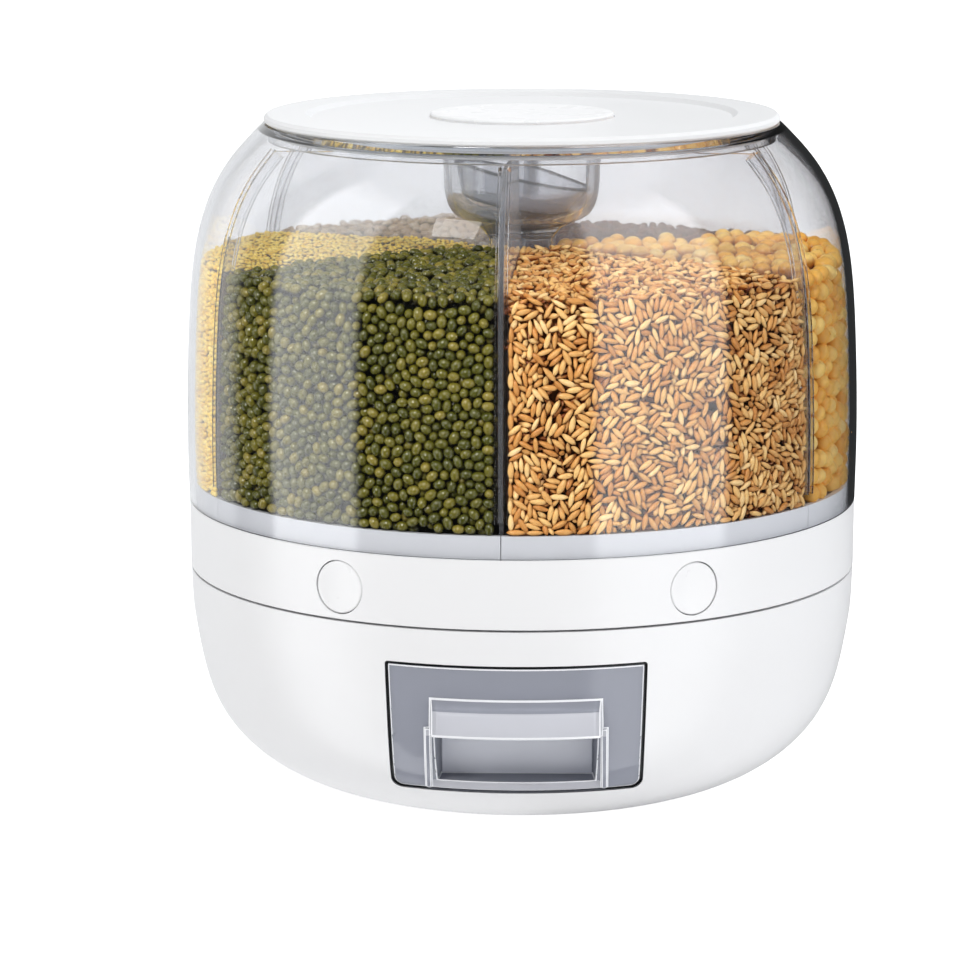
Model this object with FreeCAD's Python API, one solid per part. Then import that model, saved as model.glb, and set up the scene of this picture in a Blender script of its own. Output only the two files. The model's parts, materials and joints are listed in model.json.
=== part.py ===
import FreeCAD, Part

import math
import os

# Rotating cereal dispenser.  Millimetres, +Z up, origin at the centre of the footprint on the table.
# The front (drawer) looks along -Y.  Angles "theta" are measured from -Y towards +X.

V = FreeCAD.Vector
ORIGIN = V(0, 0, 0)
ZAXIS = V(0, 0, 1)

# ---------------------------------------------------------------- driving dimensions
HEIGHT = 250.0          # table to lid top
R_DOME = 125.0          # widest radius of the clear dome
R_RING = 124.4          # outer radius of the turning ring
Z_SEAM_LO = 81.7        # top edge of the base bowl
Z_SEAM_HI = 82.5        # bottom edge of the turning ring
Z_DOME = 107.2          # bottom edge of the clear dome
WALL = 2.6              # bowl and dome wall
RING_WALL = 2.2

COMPARTMENTS = 6
CUP_H = 12.8            # height of the measuring cup
CUP_R = 26.0            # its rim radius
BUTTON_THETA0 = 30.0    # buttons at 30, 90, ... degrees
DIVIDER_THETA0 = -2.4   # divider walls at -2.4, 57.6, ... degrees

# base
BASE_PROFILE = [(60.0, 0.9), (79.5, 3.6), (98.6, 12.4), (111.9, 25.6), (119.4, 43.0), (123.0, 62.0), (124.3, Z_SEAM_LO)]
PAD_R = 8.0
PAD_PCR = 51.0
DECK_Z0, DECK_Z1 = 73.4, 76.0
R_DECK = 120.9
POST_R, POST_PCR = 5.0, 108.0
SPINDLE_R = 10.10
HUB_BORE_R = 10.17
HUB_R = 14.0
RACE_R = 54.0           # ball circle
BALL_R = 3.0
BALL_Z = 79.6
BALLS = 12

# drawer and its bay
BAY_Z0, BAY_Z1 = 19.2, 69.5
BAY_HW_BOT, BAY_HW_TOP = 44.6, 46.0
BAY_GAP = 1.2           # shadow gap round the drawer front
FRONT_INSET = 0.5       # front sits this far inside the bowl surface
FRONT_T = 2.4
TRAY_HW = 43.2
TRAY_Z0, TRAY_Z1 = 20.3, 66.0
TRAY_Y1 = -22.2         # back of the tray
TRAY_WALL = 1.8
PULL_HW = 30.0          # half width of the finger pocket mouth
PULL_Z0, PULL_Z1 = 24.4, 53.0
PULL_BACK_Y = -98.0
HOOD_R = 125.0
DRAWER_TRAVEL = 80.0

# outlets and their gates
OUT_R0, OUT_R1 = 75.5, 86.0
OUT_HW = 11.5
GATE_TRAVEL = 12.0
GATE_Z0, GATE_Z1 = 84.6, 86.4
PLATE_Z0, PLATE_Z1 = 82.6, 84.2
BUTTON_Z = 94.0
BUTTON_R = 9.4
BUTTON_HOLE_R = 9.7

# dome, dividers, lid
DOME_PROFILE = [(124.6, 107.2), (124.95, 125.0), (124.75, 150.0), (124.0, 170.0), (122.8, 188.0), (119.9, 206.5),
                (114.6, 222.0), (107.2, 234.0), (99.7, 242.4), (95.4, 246.6)]
COLLAR_R0, COLLAR_R1 = 91.0, 93.4
COLLAR_Z0, COLLAR_Z1 = 239.7, 246.6
DIV_T = 1.6
DIV_TOP = 239.2
RIB_T = 1.2
RIB_DEPTH = 4.0
RIB_GAP = 1.0           # from the divider's middle plane to a rib
COLUMN_R = 13.0
BOWL_R = 30.0
LID_R = 95.2
LID_Z0 = 246.9
LID_LIFT = 130.0

os.makedirs("parts", exist_ok=True)


# ---------------------------------------------------------------- helpers
def rz(points):
    return [V(r, 0, z) for r, z in points]


def revolve(points):
    """Closed (r, z) polygon turned round Z."""
    pts = rz(points)
    face = Part.Face(Part.makePolygon(pts + [pts[0]]))
    return face.revolve(ORIGIN, ZAXIS, 360)


def curve(points, t0=None, t1=None):
    c = Part.BSplineCurve()
    if t0 and t1:
        c.interpolate(Points=rz(points), InitialTangent=V(t0[0], 0, t0[1]), FinalTangent=V(t1[0], 0, t1[1]))
    else:
        c.interpolate(Points=rz(points))
    return c


def sample(c, n, dist=0.0, u0=0.0, u1=1.0):
    """(r, z) points along c, moved by dist towards the axis."""
    a, b = c.FirstParameter, c.LastParameter
    out = []
    for i in range(n):
        u = a + (b - a) * (u0 + (u1 - u0) * i / (n - 1))
        p = c.value(u)
        t = c.tangent(u)[0]
        nx, nz = -t.z, t.x
        out.append((p.x + nx * dist, p.z + nz * dist))
    return out


def revolve_edges(edges):
    face = Part.Face(Part.Wire(edges))
    return face.revolve(ORIGIN, ZAXIS, 360)


def line(a, b):
    return Part.LineSegment(V(a[0], 0, a[1]), V(b[0], 0, b[1])).toShape()


def box(x0, x1, y0, y1, z0, z1):
    return Part.makeBox(x1 - x0, y1 - y0, z1 - z0, V(x0, y0, z0))


def cyl(r, x, y, z0, z1):
    return Part.makeCylinder(r, z1 - z0, V(x, y, z0))


def turned(shape, theta):
    """A shape drawn with its radius along +X, turned to the angle theta."""
    s = shape.copy()
    s.rotate(ORIGIN, ZAXIS, theta - 90.0)
    return s


def at(theta, r):
    a = math.radians(theta)
    return r * math.sin(a), -r * math.cos(a)


def fuse(shapes):
    s = shapes[0].multiFuse(shapes[1:]) if len(shapes) > 1 else shapes[0]
    return s.removeSplitter()


def loft(sections):
    wires = [Part.makePolygon([V(*p) for p in s + [s[0]]]) for s in sections]
    return Part.makeLoft(wires, True, True)


def fillet_along(shape, axis, r, pick):
    edges = []
    for e in shape.Edges:
        if len(e.Vertexes) != 2:
            continue
        d = e.Vertexes[1].Point - e.Vertexes[0].Point
        if d.Length > 1e-6 and abs(abs(d.normalize().dot(axis)) - 1) < 1e-3 and pick(e.CenterOfMass):
            edges.append(e)
    return shape.makeFillet(r, edges) if edges else shape


def save(name, shape):
    if isinstance(shape, list):
        shape = Part.makeCompound(shape)
    bad = [s for s in shape.Solids if not s.isValid()]
    print("%-20s solids %2d  volume %10.1f  %s" % (name, len(shape.Solids), sum(s.Volume for s in shape.Solids),
                                                   "INVALID" if bad or not shape.Solids else ""))
    if len(shape.Solids) == 1:
        shape = shape.Solids[0]
    shape.exportStep("parts/%s.step" % name)


# ---------------------------------------------------------------- base bowl
base_curve = curve(BASE_PROFILE, (1.0, 0.02), (0.03, 1.0))
inner_pts = sample(base_curve, 15, WALL)
inner_pts[0] = (60.0, 0.9 + WALL)
inner_pts[-1] = (BASE_PROFILE[-1][0] - WALL, Z_SEAM_LO)
inner_curve = curve(inner_pts)
base_shell = revolve_edges([
    line((0, 0.9), (60.0, 0.9)), base_curve.toShape(), line(BASE_PROFILE[-1], inner_pts[-1]),
    inner_curve.toShape(), line(inner_pts[0], (0, 0.9 + WALL)), line((0, 0.9 + WALL), (0, 0.9))])
bowl_solid = revolve_edges([
    line((0, 0.9), (60.0, 0.9)), base_curve.toShape(), line(BASE_PROFILE[-1], (0, Z_SEAM_LO)),
    line((0, Z_SEAM_LO), (0, 0.9))])
inner_solid = revolve_edges([
    inner_curve.toShape(), line(inner_pts[-1], (0, Z_SEAM_LO)), line((0, Z_SEAM_LO), (0, 0.9 + WALL)),
    line((0, 0.9 + WALL), (60.0, 0.9 + WALL))])

ledge = revolve([(117.9, 71.0), (122.6, 71.0), (122.6, DECK_Z0), (117.9, DECK_Z0)])
posts = []
for theta in (45, 135, 225, 315):
    x, y = at(theta, POST_PCR)
    post = cyl(POST_R, x, y, 12.0, DECK_Z0)
    web = turned(box(POST_PCR, 122.0, -1.2, 1.2, 12.0, 71.0), theta)
    posts.append(post.fuse(web).common(bowl_solid))
ribs = [box(s * 44.2 - 3.0, s * 44.2 + 3.0, -92.0, -14.0, 1.5, 17.6).common(bowl_solid) for s in (-1, 1)]
base_shell = fuse([base_shell, ledge.common(bowl_solid)] + posts + ribs)

bay = loft([[(-BAY_HW_BOT, y, BAY_Z0), (BAY_HW_BOT, y, BAY_Z0), (BAY_HW_TOP, y, BAY_Z1), (-BAY_HW_TOP, y, BAY_Z1)]
            for y in (-140.0, -80.0)])
bay = fillet_along(bay, V(0, 1, 0), 4.5, lambda p: p.z < 30)
bay = fillet_along(bay, V(0, 1, 0), 1.2, lambda p: p.z > 60)
base_shell = base_shell.cut(bay)
pads, tools = [], []
for theta in (45, 135, 225, 315):
    x, y = at(theta, PAD_PCR)
    pads.append(cyl(PAD_R, x, y, 0.0, 1.9))
    tools.append(cyl(PAD_R + 0.05, x, y, -1.0, 1.9))
    px, py = at(theta, POST_PCR)
    tools.append(cyl(1.5, px, py, 58.0, 80.0))
base_shell = base_shell.cut(Part.makeCompound(tools))
save("base_shell", base_shell)
save("foot_pads", pads)

# ---------------------------------------------------------------- deck inside the base
race_cut = Part.makeTorus(RACE_R, BALL_R + 0.08, V(0, 0, BALL_Z))
deck = revolve([(0, DECK_Z0), (R_DECK, DECK_Z0), (R_DECK, DECK_Z1), (59.5, DECK_Z1), (59.5, 78.1), (48.5, 78.1),
                (48.5, DECK_Z1), (14.0, DECK_Z1), (SPINDLE_R, 78.0), (SPINDLE_R, 92.35), (0, 92.35)])
deck = deck.fuse(cyl(6.0, 0, 0, 66.0, DECK_Z0 + 0.5))
deck = deck.cut(race_cut)
deck_out = fillet_along(box(73.5, 88.0, -14.0, 14.0, 70.0, 80.0), ZAXIS, 2.0, lambda p: True)
cuts = [turned(deck_out, 0.0), cyl(1.9, 0, 0, 78.0, 95.0)]
deck_screws = []
for theta in (45, 135, 225, 315):
    x, y = at(theta, POST_PCR)
    cuts.append(cyl(1.7, x, y, 70.0, 80.0))
    screw = cyl(1.48, x, y, 60.0, DECK_Z1 + 0.5).fuse(cyl(3.4, x, y, DECK_Z1, DECK_Z1 + 2.2))
    slot = box(x - 2.4, x + 2.4, y - 0.4, y + 0.4, DECK_Z1 + 1.2, DECK_Z1 + 3).fuse(
        box(x - 0.4, x + 0.4, y - 2.4, y + 2.4, DECK_Z1 + 1.2, DECK_Z1 + 3))
    deck_screws.append(screw.cut(slot).removeSplitter())
deck = deck.cut(Part.makeCompound(cuts)).removeSplitter()
save("base_deck", deck)
save("deck_screws", deck_screws)

washer = revolve([(2.2, 92.35), (15.5, 92.35), (15.5, 93.75), (2.2, 93.75)])
save("spindle_washer", washer)
spindle_screw = cyl(1.88, 0, 0, 80.0, 94.0).fuse(cyl(4.4, 0, 0, 93.75, 96.4))
spindle_screw = spindle_screw.cut(box(-3, 3, -0.45, 0.45, 95.2, 97)).cut(box(-0.45, 0.45, -3, 3, 95.2, 97))
save("spindle_screw", spindle_screw.removeSplitter())

# chute from the deck outlet into the drawer
chute = box(-17.0, 17.0, -91.0, -70.0, 67.4, DECK_Z0).fuse(box(-21.0, 21.0, -94.0, -67.0, 71.8, DECK_Z0))
chute = fillet_along(chute, ZAXIS, 3.0, lambda p: abs(p.x) > 16.5)
chute = chute.cut(loft([[(-13.8, -87.8, 76.0), (13.8, -87.8, 76.0), (13.8, -73.7, 76.0), (-13.8, -73.7, 76.0)],
                        [(-15.4, -89.4, 66.0), (15.4, -89.4, 66.0), (15.4, -71.6, 66.0), (-15.4, -71.6, 66.0)]]))
save("outlet_chute", chute.removeSplitter())

# drawer rails on the bowl's ribs
for name, s in (("drawer_rail_left", -1), ("drawer_rail_right", 1)):
    a = sorted((s * 41.2, s * 47.2))
    b = sorted((s * 43.8, s * 46.2))
    c = sorted((s * 36.0, s * 46.2))
    rail = box(a[0], a[1], -88.0, -14.0, 17.6, 19.8).fuse(box(b[0], b[1], -88.0, -14.0, 19.8, 31.0))
    rail = rail.fuse(box(c[0], c[1], -21.7, -18.9, 19.8, 31.0)).fuse(box(c[0], c[1], -21.7, -14.0, 17.6, 19.8))
    save(name, rail.removeSplitter())

# ---------------------------------------------------------------- ball bearing
cage = revolve([(49.0, 78.7), (59.0, 78.7), (59.0, 80.5), (49.0, 80.5)])
balls, pockets = [], []
for i in range(BALLS):
    x, y = at(i * 360.0 / BALLS + 15.0, RACE_R)
    balls.append(Part.makeSphere(BALL_R, V(x, y, BALL_Z)))
    pockets.append(cyl(BALL_R + 0.15, x, y, 78.0, 81.0))
save("ball_cage", cage.cut(Part.makeCompound(pockets)))
save("bearing_balls", balls)

# ---------------------------------------------------------------- turning ring and its plate
plate = revolve([(HUB_BORE_R, PLATE_Z0), (48.5, PLATE_Z0), (48.5, 81.1), (59.5, 81.1), (59.5, PLATE_Z0),
                 (R_RING - 1.0, PLATE_Z0),
                 (R_RING - 1.0, Z_SEAM_HI), (R_RING - 0.25, Z_SEAM_HI), (R_RING, Z_SEAM_HI + 0.3),
                 (R_RING + 0.05, 95.0), (R_RING + 0.1, Z_DOME - 0.3), (R_RING - 0.15, Z_DOME),
                 (R_RING - RING_WALL, Z_DOME), (R_RING - RING_WALL, 105.2), (117.0, 105.2), (117.0, 104.0),
                 (R_RING - RING_WALL, 104.0), (R_RING - RING_WALL, PLATE_Z1), (HUB_R, PLATE_Z1), (HUB_R, 92.0),
                 (HUB_BORE_R, 92.0)])
plate = plate.cut(race_cut)
outlet = fillet_along(box(OUT_R0, OUT_R1, -OUT_HW, OUT_HW, 80.0, 90.0), ZAXIS, 1.5, lambda p: True)
guide = box(61.2, 113.8, -17.0, 17.0, PLATE_Z0, PLATE_Z1).fuse(box(59.9, 115.4, -18.4, 18.4, PLATE_Z0 - 1.0, PLATE_Z0))
for y0, y1 in ((-16.0, -14.4), (14.4, 16.0)):
    guide = guide.fuse(box(61.6, 113.0, y0, y1, PLATE_Z1 - 0.2, 88.6))
guide = guide.cut(outlet).removeSplitter()
adds, cuts, guides = [], [], []
for k in range(COMPARTMENTS):
    th = BUTTON_THETA0 + 60.0 * k
    adds.append(turned(box(48.8, 50.4, -6.0, 6.0, PLATE_Z1 - 0.2, 94.0), th))
    cuts.append(turned(box(61.0, 114.0, -17.2, 17.2, 80.0, 85.0), th))
    guides.append(turned(guide, th))
    cuts.append(turned(Part.makeCylinder(BUTTON_HOLE_R, 20.0, V(114.0, 0, BUTTON_Z), V(1, 0, 0)), th))
    x, y = at(60.0 * k, 100.0)
    cuts.append(cyl(1.7, x, y, 80.0, 86.0))
carousel_base = plate.multiFuse(adds).cut(Part.makeCompound(cuts)).removeSplitter()
save("carousel_base", carousel_base)
save("gate_guides", guides)

# ---------------------------------------------------------------- funnel floor of the compartments
floor = revolve([(0, 114.0), (17.6, 114.0), (74.0, 106.4), (88.0, 106.4), (119.4, 115.0), (119.6, 115.4),
                 (121.5, 115.4), (121.5, 105.2), (117.5, 105.2), (117.5, 107.0), (119.3, 107.0), (119.3, 113.0),
                 (88.0, 104.4), (74.0, 104.4), (17.6, 112.0), (0, 112.0)])
spouts, holes, bosses = [], [], []
screws = []
for k in range(COMPARTMENTS):
    th = BUTTON_THETA0 + 60.0 * k
    way = fillet_along(box(OUT_R0, OUT_R1, -OUT_HW, OUT_HW, 80.0, 110.0), ZAXIS, 1.5, lambda p: True)
    spout = box(OUT_R0 - 1.5, OUT_R1 + 1.5, -OUT_HW - 1.5, OUT_HW + 1.5, 87.0, 104.4)
    spouts.append(turned(fillet_along(spout, ZAXIS, 1.0, lambda p: True).cut(way), th))
    holes.append(turned(way, th))
    x, y = at(60.0 * k, 100.0)
    bosses.append(cyl(4.0, x, y, PLATE_Z1, 107.9))
    holes.append(cyl(1.5, x, y, 80.0, 98.0))
    screw = cyl(1.48, x, y, 82.0, 96.0).fuse(cyl(3.0, x, y, 80.8, PLATE_Z0))
    screws.append(screw.removeSplitter())
hopper_floor = floor.multiFuse(bosses).cut(Part.makeCompound(holes + [cyl(8.0, 0, 0, 100.0, 120.0)])).removeSplitter()
# one pan for each compartment, parted under the divider walls
pans = []
for k in range(COMPARTMENTS):
    a0, a1 = DIVIDER_THETA0 + 60.0 * k, DIVIDER_THETA0 + 60.0 * (k + 1)
    s0, s1 = 0.15, 0.15
    mid = at((a0 + a1) / 2, s0 / math.sin(math.radians(30.0)))
    far0, far1 = at(a0, 160.0), at(a1, 160.0)
    n0 = (math.cos(math.radians(a0)) * s0, math.sin(math.radians(a0)) * s0)
    n1 = (-math.cos(math.radians(a1)) * s1, -math.sin(math.radians(a1)) * s1)
    corners = [mid, (far0[0] + n0[0], far0[1] + n0[1]), at((a0 + a1) / 2, 200.0), (far1[0] + n1[0], far1[1] + n1[1])]
    wire = Part.makePolygon([V(x, y, 80.0) for x, y in corners + corners[:1]])
    pans.append(hopper_floor.common(Part.Face(wire).extrude(V(0, 0, 40.0))))
for k in range(COMPARTMENTS):
    save("hopper_pan_%d" % (k + 1), pans[k])
save("outlet_spouts", spouts)
save("hopper_screws", screws)

# ---------------------------------------------------------------- push buttons, gates and springs
for k in range(COMPARTMENTS):
    th = BUTTON_THETA0 + 60.0 * k
    gate = box(70.0, 112.0, -14.0, 14.0, GATE_Z0, GATE_Z1)
    gate = gate.cut(fillet_along(box(OUT_R1 + 1.5, OUT_R1 + 1.5 + 10.5, -11.7, 11.7, 84.0, 87.0), ZAXIS, 1.5, lambda p: True))
    gate = gate.multiFuse([
        box(70.0, 72.0, -5.0, 5.0, GATE_Z0, 94.0),
        Part.makeCylinder(2.0, 4.5, V(66.0, 0, 90.2), V(1, 0, 0)),
        box(110.0, 112.0, -7.0, 7.0, GATE_Z0, 99.0),
        box(111.5, 121.2, -3.0, 3.0, 91.0, 97.0)])
    save("gate_%d" % (k + 1), turned(gate.removeSplitter(), th))

    cap = Part.makeCylinder(BUTTON_R, 12.0, V(115.0, 0, BUTTON_Z), V(1, 0, 0))
    cap = cap.common(cyl(R_RING - 0.1, 0, 0, 80.0, 108.0))
    cap = cap.common(Part.makeCone(BUTTON_R + 9.0, BUTTON_R - 0.55, 10.2, V(114.0, 0, BUTTON_Z), V(1, 0, 0)))
    cap = cap.cut(Part.makeCylinder(7.9, 6.2, V(115.0, 0, BUTTON_Z), V(1, 0, 0)))
    cap = cap.cut(Part.makeSphere(52.0, V(124.3 + 52.0 - 0.9, 0, BUTTON_Z)))
    save("button_cap_%d" % (k + 1), turned(cap, th))

    helix = Part.makeHelix(2.6, 18.6, 3.1)
    prof = Part.Wire(Part.Circle(V(3.1, 0, 0), V(0, 1, 0), 0.4).toShape())
    coil = Part.Wire(helix).makePipeShell([prof], True, True)
    coil.rotate(ORIGIN, V(0, 1, 0), 90.0)
    coil.translate(V(50.85, 0, 90.2))
    save("gate_spring_%d" % (k + 1), turned(coil, th))

# ---------------------------------------------------------------- clear dome
dome_curve = curve(DOME_PROFILE, (0.02, 1.0), (-0.75, 0.66))
inner_dome_pts = [p for p in sample(dome_curve, 40, WALL) if p[1] < 243.4]
inner_dome_pts[0] = (DOME_PROFILE[0][0] - WALL, Z_DOME)
inner_dome = curve(inner_dome_pts)
top_in = inner_dome_pts[-1]
dome = revolve_edges([
    dome_curve.toShape(), line(DOME_PROFILE[-1], (COLLAR_R0, COLLAR_Z1)), line((COLLAR_R0, COLLAR_Z1), (COLLAR_R0, COLLAR_Z0)),
    line((COLLAR_R0, COLLAR_Z0), (COLLAR_R1, COLLAR_Z0)), line((COLLAR_R1, COLLAR_Z0), (COLLAR_R1, top_in[1])),
    line((COLLAR_R1, top_in[1]), top_in), inner_dome.toShape(), line(inner_dome_pts[0], DOME_PROFILE[0])])

rib_out = sample(inner_dome, 40, -0.9, 0.085, 0.97)
rib_in = sample(inner_dome, 40, RIB_DEPTH, 0.085, 0.97)
co, ci = curve(rib_out), curve(rib_in)
rib_face = Part.Face(Part.Wire([co.toShape(), line(rib_out[-1], rib_in[-1]), ci.toShape(), line(rib_in[0], rib_out[0])]))
rib_pair = []
for y0 in (RIB_GAP, -RIB_GAP - RIB_T):
    f = rib_face.copy()
    f.translate(V(0, y0, 0))
    rib_pair.append(f.extrude(V(0, RIB_T, 0)))
dome_ribs = [turned(r, DIVIDER_THETA0 + 60.0 * k) for k in range(COMPARTMENTS) for r in rib_pair]
clear_dome = dome.multiFuse(dome_ribs)
save("clear_dome", clear_dome)

# ---------------------------------------------------------------- divider insert with centre column and bowl
wall_edge = sample(inner_dome, 30, 0.6, 0.075, 0.955)
wall_edge = [p for p in wall_edge if p[1] < DIV_TOP - 2.0]
wc = curve(wall_edge)
lo, hi = wall_edge[0], wall_edge[-1]
top_r = hi[0] - (DIV_TOP - hi[1]) * 0.95
wall_face = Part.Face(Part.Wire([
    wc.toShape(), line(hi, (top_r, DIV_TOP)), line((top_r, DIV_TOP), (14.0, DIV_TOP)), line((14.0, DIV_TOP), (12.2, 210.0)),
    line((12.2, 210.0), (12.2, 115.1)), line((12.2, 115.1), (17.7, 114.4)), line((17.7, 114.4), (74.0, 106.8)),
    line((74.0, 106.8), (88.0, 106.8)), line((88.0, 106.8), (118.6, 115.2)), line((118.6, 115.2), (118.6, lo[1])),
    line((118.6, lo[1]), lo)]))
walls = []
for k in range(COMPARTMENTS):
    f = wall_face.copy()
    f.translate(V(0, -DIV_T / 2, 0))
    walls.append(turned(f.extrude(V(0, DIV_T, 0)), DIVIDER_THETA0 + 60.0 * k))
bo = curve([(COLUMN_R, 204.0), (17.0, 208.6), (24.5, 212.0), (28.3, 218.5), (29.2, 228.0), (BOWL_R, 240.8)])
bi = curve([(11.0, 210.6), (22.5, 213.4), (26.5, 219.0), (27.4, 228.0), (28.2, 240.8)])
centre = revolve_edges([
    line((COLUMN_R - 1.8, 114.4), (COLUMN_R, 114.4)), line((COLUMN_R, 114.4), (COLUMN_R, 204.0)), bo.toShape(),
    line((BOWL_R, 240.8), (28.2, 240.8)), bi.toShape(), line((11.0, 210.6), (0, 210.2)), line((0, 210.2), (0, 208.2)),
    line((0, 208.2), (COLUMN_R - 1.8, 206.0)), line((COLUMN_R - 1.8, 206.0), (COLUMN_R - 1.8, 114.4))])
bowl_room = revolve_edges([
    line((0, 210.2), (11.0, 210.6)), bi.toShape(), line((28.2, 240.8), (28.2, 250.0)), line((28.2, 250.0), (0, 250.0)),
    line((0, 250.0), (0, 210.2))])
column_room = cyl(COLUMN_R - 1.8, 0, 0, 110.0, 205.5)
insert = centre.multiFuse([w.cut(bowl_room).cut(column_room) for w in walls])
save("divider_insert", insert)

# ---------------------------------------------------------------- lid
lid = revolve([(0, 246.9), (0, 248.4), (77.6, 248.4), (79.6, 250.0), (94.0, 250.0), (LID_R, 248.9), (LID_R, 247.6),
               (LID_R - 0.7, LID_Z0), (89.2, LID_Z0), (89.2, 246.0), (87.7, 245.2), (87.7, 243.2), (89.2, 242.4),
               (89.2, 241.2), (86.4, 241.2), (86.4, LID_Z0)])
lid = lid.cut(cyl(34.25, 0, 0, 247.7, 252.0))
save("lid_plate", lid.removeSplitter())
gasket = revolve([(87.7, 243.3), (89.3, 242.7), (90.6, 243.3), (90.6, 244.0), (89.6, 244.2), (90.6, 244.5),
                  (90.6, 245.1), (89.3, 245.7), (87.7, 245.1)])
save("lid_gasket", gasket)
disc = revolve([(0, 247.7), (34.0, 247.7), (34.0, 249.3), (33.4, 249.8), (30.0, 250.0), (24.0, 249.4), (0, 249.2)])
save("lid_disc", disc)

# ---------------------------------------------------------------- measuring cup, lying tilted in the centre bowl
cup = revolve([(0, 0), (19.6, 0), (20.6, 1.0), (CUP_R - 0.7, CUP_H - 1.0), (CUP_R, CUP_H - 1.0), (CUP_R, CUP_H), (CUP_R - 1.6, CUP_H),
               (19.7, 1.3), (0, 1.3)])
cup.rotate(ORIGIN, V(0, 1, 0), 12.0)
cup.translate(V(-2.2, 0, 215.4))
save("measuring_cup", cup)

# ---------------------------------------------------------------- drawer
front_out = sample(base_curve, 25, FRONT_INSET)
front_in = sample(base_curve, 25, FRONT_INSET + FRONT_T)
fo = curve(front_out)
fi = curve(front_in)
skin = revolve_edges([fo.toShape(), line(front_out[-1], front_in[-1]), fi.toShape(), line(front_in[0], front_out[0])])
inside = revolve_edges([
    curve(sample(base_curve, 25, FRONT_INSET + FRONT_T + 0.03)).toShape(),
    line(sample(base_curve, 25, FRONT_INSET + FRONT_T + 0.03)[-1], (0, 80.0)), line((0, 80.0), (0, 2.0)),
    line((0, 2.0), sample(base_curve, 25, FRONT_INSET + FRONT_T + 0.03)[0])])


def outline(gap, y0, y1):
    s = [[(-BAY_HW_BOT + gap, y, BAY_Z0 + gap), (BAY_HW_BOT - gap, y, BAY_Z0 + gap),
          (BAY_HW_TOP - gap, y, BAY_Z1 - gap), (-BAY_HW_TOP + gap, y, BAY_Z1 - gap)] for y in (y0, y1)]
    b = loft(s)
    return fillet_along(b, V(0, 1, 0), 3.6, lambda p: p.z < 30)


panel = skin.common(outline(BAY_GAP, -140.0, -60.0))


def pocket(grow, y0, z0, z1):
    """Finger pocket: mouth at the front, narrowing to the back."""
    hw0, hw1 = PULL_HW + grow, PULL_HW - 3.0 + grow
    slope = (hw0 - hw1) / (-y0 - 130.0)
    return loft([[(-hw0, -130.0, z0), (hw0, -130.0, z0), (hw0, -130.0, z1), (-hw0, -130.0, z1)],
                 [(-hw1, y0, z0), (hw1, y0, z0), (hw1, y0, z1), (-hw1, y0, z1)]])


envelope = revolve_edges([fo.toShape(), line(front_out[-1], (0, 90.0)), line((0, 90.0), (0, 2.0)),
                          line((0, 2.0), front_out[0])])
# hood: a band proud of the front over the pocket's top
hood_out = revolve([(112.0, 43.3), (HOOD_R - 0.6, 43.3), (HOOD_R, 44.0), (HOOD_R, 52.9), (HOOD_R - 0.8, 54.1), (121.0, 57.2),
                    (112.0, 57.2)])
hood_in = revolve([(90.0, 30.0), (HOOD_R - 2.2, 30.0), (HOOD_R - 2.2, 51.6), (HOOD_R - 3.0, 52.6), (118.6, 54.6), (90.0, 54.6)])


def fan(hw_front, hw_back, z0, z1, y_back=-100.0):
    return loft([[(-hw_front, -130.0, z0), (hw_front, -130.0, z0), (hw_front, -130.0, z1), (-hw_front, -130.0, z1)],
                 [(-hw_back, y_back, z0), (hw_back, y_back, z0), (hw_back, y_back, z1), (-hw_back, y_back, z1)]])


hood = hood_out.common(fan(28.6, 30.6, 39.5, 57.2, -112.0))
hood = hood.cut(fan(26.4, 28.4, 30.0, 60.0, -112.0).common(hood_in))
shell_out = pocket(2.0, PULL_BACK_Y + 2.0, PULL_Z0 - 2.0, PULL_Z1 + 2.0).common(envelope)
room = pocket(0.0, PULL_BACK_Y, PULL_Z0, PULL_Z1)
room_low = room.common(box(-60, 60, -140, -90, 20.0, 44.5))
room_in = room.common(envelope)
legs = []
front = panel.fuse(shell_out)
front = front.cut(room_low).cut(room_in)
# legs: raised edges beside the pocket mouth
leg_skin_out = sample(base_curve, 25, -1.2)
lo_c = curve(leg_skin_out)
leg_body = revolve_edges([lo_c.toShape(), line(leg_skin_out[-1], front_in[-1]), fi.toShape(), line(front_in[0], leg_skin_out[0])])
for s in (-1, 1):
    xs = sorted((s * PULL_HW, s * (PULL_HW + 2.0)))
    legs.append(leg_body.common(box(xs[0], xs[1], -140.0, -90.0, BAY_Z0 + BAY_GAP + 0.6, 45.5)))
front = front.multiFuse([hood] + legs)
front = front.cut(fan(26.4, 28.4, 30.0, 60.0, -112.0).common(hood_in).common(box(-60, 60, -140, -112, 30, 60)))
front = front.removeSplitter()
save("drawer_front", front)

tray = box(-TRAY_HW, TRAY_HW, -125.0, TRAY_Y1, TRAY_Z0, TRAY_Z1)
tray = fillet_along(tray, ZAXIS, 4.0, lambda p: p.y > -30)
tin = box(-TRAY_HW + TRAY_WALL, TRAY_HW - TRAY_WALL, -126.0, TRAY_Y1 - TRAY_WALL, TRAY_Z0 + TRAY_WALL, TRAY_Z1 + 5)
tin = fillet_along(tin, ZAXIS, 2.6, lambda p: p.y > -40)
tray = tray.cut(tin)
corner = loft([[(-TRAY_HW, y, TRAY_Z0), (TRAY_HW, y, TRAY_Z0), (TRAY_HW, y, TRAY_Z1), (-TRAY_HW, y, TRAY_Z1)] for y in (-130.0, -20.0)])
corner = fillet_along(corner, V(0, 1, 0), 3.0, lambda p: p.z < 30)
tray = tray.common(corner).common(inside)
tray = tray.cut(pocket(2.05, PULL_BACK_Y + 2.05, PULL_Z0 - 5.0, PULL_Z1 + 2.05))
tray = tray.removeSplitter()
save("drawer_tray", tray)
print("front extents", front.BoundBox)
print("cup", cup.BoundBox, "overlap with bowl", cup.common(insert).Volume)
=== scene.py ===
import json
import math

import bpy
import bmesh
import numpy as np
from mathutils import Matrix, Vector


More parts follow.
